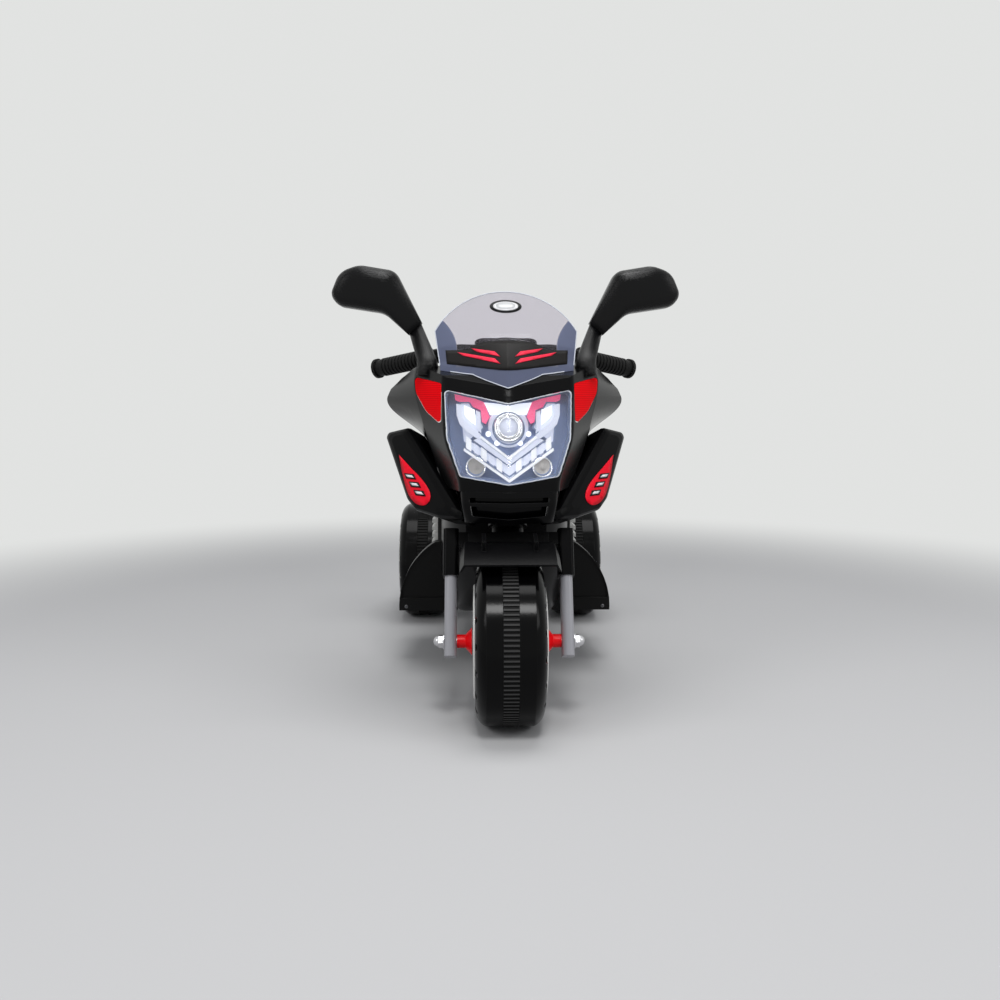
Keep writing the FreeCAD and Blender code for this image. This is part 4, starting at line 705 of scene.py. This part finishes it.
ARC_HALF = 84
ARC_R = 104
ARC_Z = 376
ARC_REACH = 90
ARC_STEPS = 12
FOOT_HALF = 64
FOOT_STEP = 4
SEARCH_FROM = 340.0
SEARCH_TO = 400
SEARCH_STEP = 0.25
arc_x = [ARC_HALF * math.sin(math.pi / 2 * k / ARC_STEPS) for k in range(ARC_STEPS + 1)]
rim_half = [(x, ARC_Z + math.sqrt(ARC_R ** 2 - (x * ARC_REACH / ARC_HALF) ** 2)) for x in arc_x]
rim_half += [(80, 406), (76.5, 387)]
rim_line = [(-x, z) for x, z in reversed(rim_half[1:])] + rim_half
# Pale strips along the windshield's rim and foot are painted edge highlights.
edge_line("windshield", "shield_edge", rim_line, (0, 410), painted_edge_highlight, closed=False, wide=0.9)
shield_skin = skin_of("windshield")
foot_line = []
for x in range(-FOOT_HALF, FOOT_HALF + 1, FOOT_STEP):
    z = SEARCH_FROM
    while z < SEARCH_TO and seen_from_front(shield_skin, x / 1000, z / 1000)[0] is None:
        z += SEARCH_STEP
    foot_line.append((x, z))
edge_line("windshield", "shield_foot", foot_line, (0, 900), painted_edge_highlight, closed=False, wide=0.9)

# Mirrors: smooth black moulded shells on stalks that plug into the fairing's shoulders. The glass is
# bright foil on the side that faces the rider.
mirror_foil = moulded("mirror_foil", (0.85, 0.87, 0.9), 0.06)
shader(mirror_foil).inputs["Metallic"].default_value = 1.0
mirror_black = moulded("mirror_black", (0.002, 0.002, 0.0024), 0.20, shine=0.18, ease=0.013, rub_and_sheen=0.0)
for word in ("left", "right"):
    dress(mirror_black, "mirror_housing_" + word, "mirror_stalk_" + word)
dress(mirror_foil, "mirror_glasses")

# Side panels: black swept panels beside the fork, screwed to the fairing. A red drop-shaped film
# with three black and white slashes is stuck on each.
dress(satin_black, "side_panel_left", "side_panel_right")
drop = [(125, 284, 0), (119.5, 262), (112.5, 243), (104, 233.5), (93.5, 231.5), (86, 238), (87, 248),
        (96.5, 259.5), (109, 270)]
SLASH_PLACES = ((110, 261), (104, 252.5), (98, 244))
SLASH_LEAN = 3
slashes = []
for x, z in SLASH_PLACES:
    for film, w, h, lift in ((film_black, 7.5, 2.8, 0.0008), (film_white, 5.4, 1.3, 0.0014)):
        low = [(x - w, z - h, 0), (x + w - SLASH_LEAN, z - h, 0)]
        high = [(x + w, z + h, 0), (x - w + SLASH_LEAN, z + h, 0)]
        slashes.append((film, low + high, lift))
film_red = moulded("film_red", (0.80, 0.008, 0.025), 0.30, shine=0.06)
for side, word in ((1, "left"), (-1, "right")):
    sticker = lay_on("side_panel_" + word, "panel_drop_" + word, drop, film_red, flip=side)
    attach(sticker, "frame")
    for row, (film, shape, lift) in enumerate(slashes):
        name = "panel_slash_%s_%d" % (word, row)
        mark = lay_on("side_panel_" + word, name, shape, film, lift=lift, flip=side)
        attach(mark, "frame")

# Footboards: black boards with a bowed leg shield, screwed under the body. The pedal and its switch
# box are on the rider's right.
BOARD_SCREW_X = 125
BOARD_SCREW_Z = 86
BOARD_SCREW_HEAD = 2.4
BEFORE_BIKE = -600
dress(grained_black, "footboard_left", "footboard_right", "pedal_switch_box")
dress(red_gloss, "accelerator_pedal")
for side, word in ((1, "left"), (-1, "right")):
    start = (side * BOARD_SCREW_X, BEFORE_BIKE, BOARD_SCREW_Z)
    screw("board_screw_" + word, "footboard_" + word, start, (0, 1, 0), head=BOARD_SCREW_HEAD)

# Engine trims, drive and battery: dress covers on the sides, painted silver on their outer faces, and
# the parts inside the body.
PAINT_EDGE = 0.0860
BARE_EDGE = 0.0852
trim_silver = moulded("trim_silver", (0.60, 0.60, 0.58), 0.32, coat=0.2)
trim_tree = trim_silver.node_tree
trim_spot = add(trim_tree, "ShaderNodeTexCoord")
trim_axes = add(trim_tree, "ShaderNodeSeparateXYZ", Vector=trim_spot.outputs["Object"])
bare = ramp(trim_tree, math_step(trim_tree, "ABSOLUTE", trim_axes.outputs["X"]), PAINT_EDGE, BARE_EDGE)
overlay(trim_silver, bare, (0.004, 0.004, 0.004))
dress(trim_silver, "engine_trim_left", "engine_trim_right")
white_nylon = moulded("white_nylon", (0.72, 0.72, 0.69), 0.45)
dress(white_nylon, "gearbox", "battery_tray")
dress(black_nylon, "charge_socket")
dress(bare_steel, "motor")
dress(grained_black, "battery")
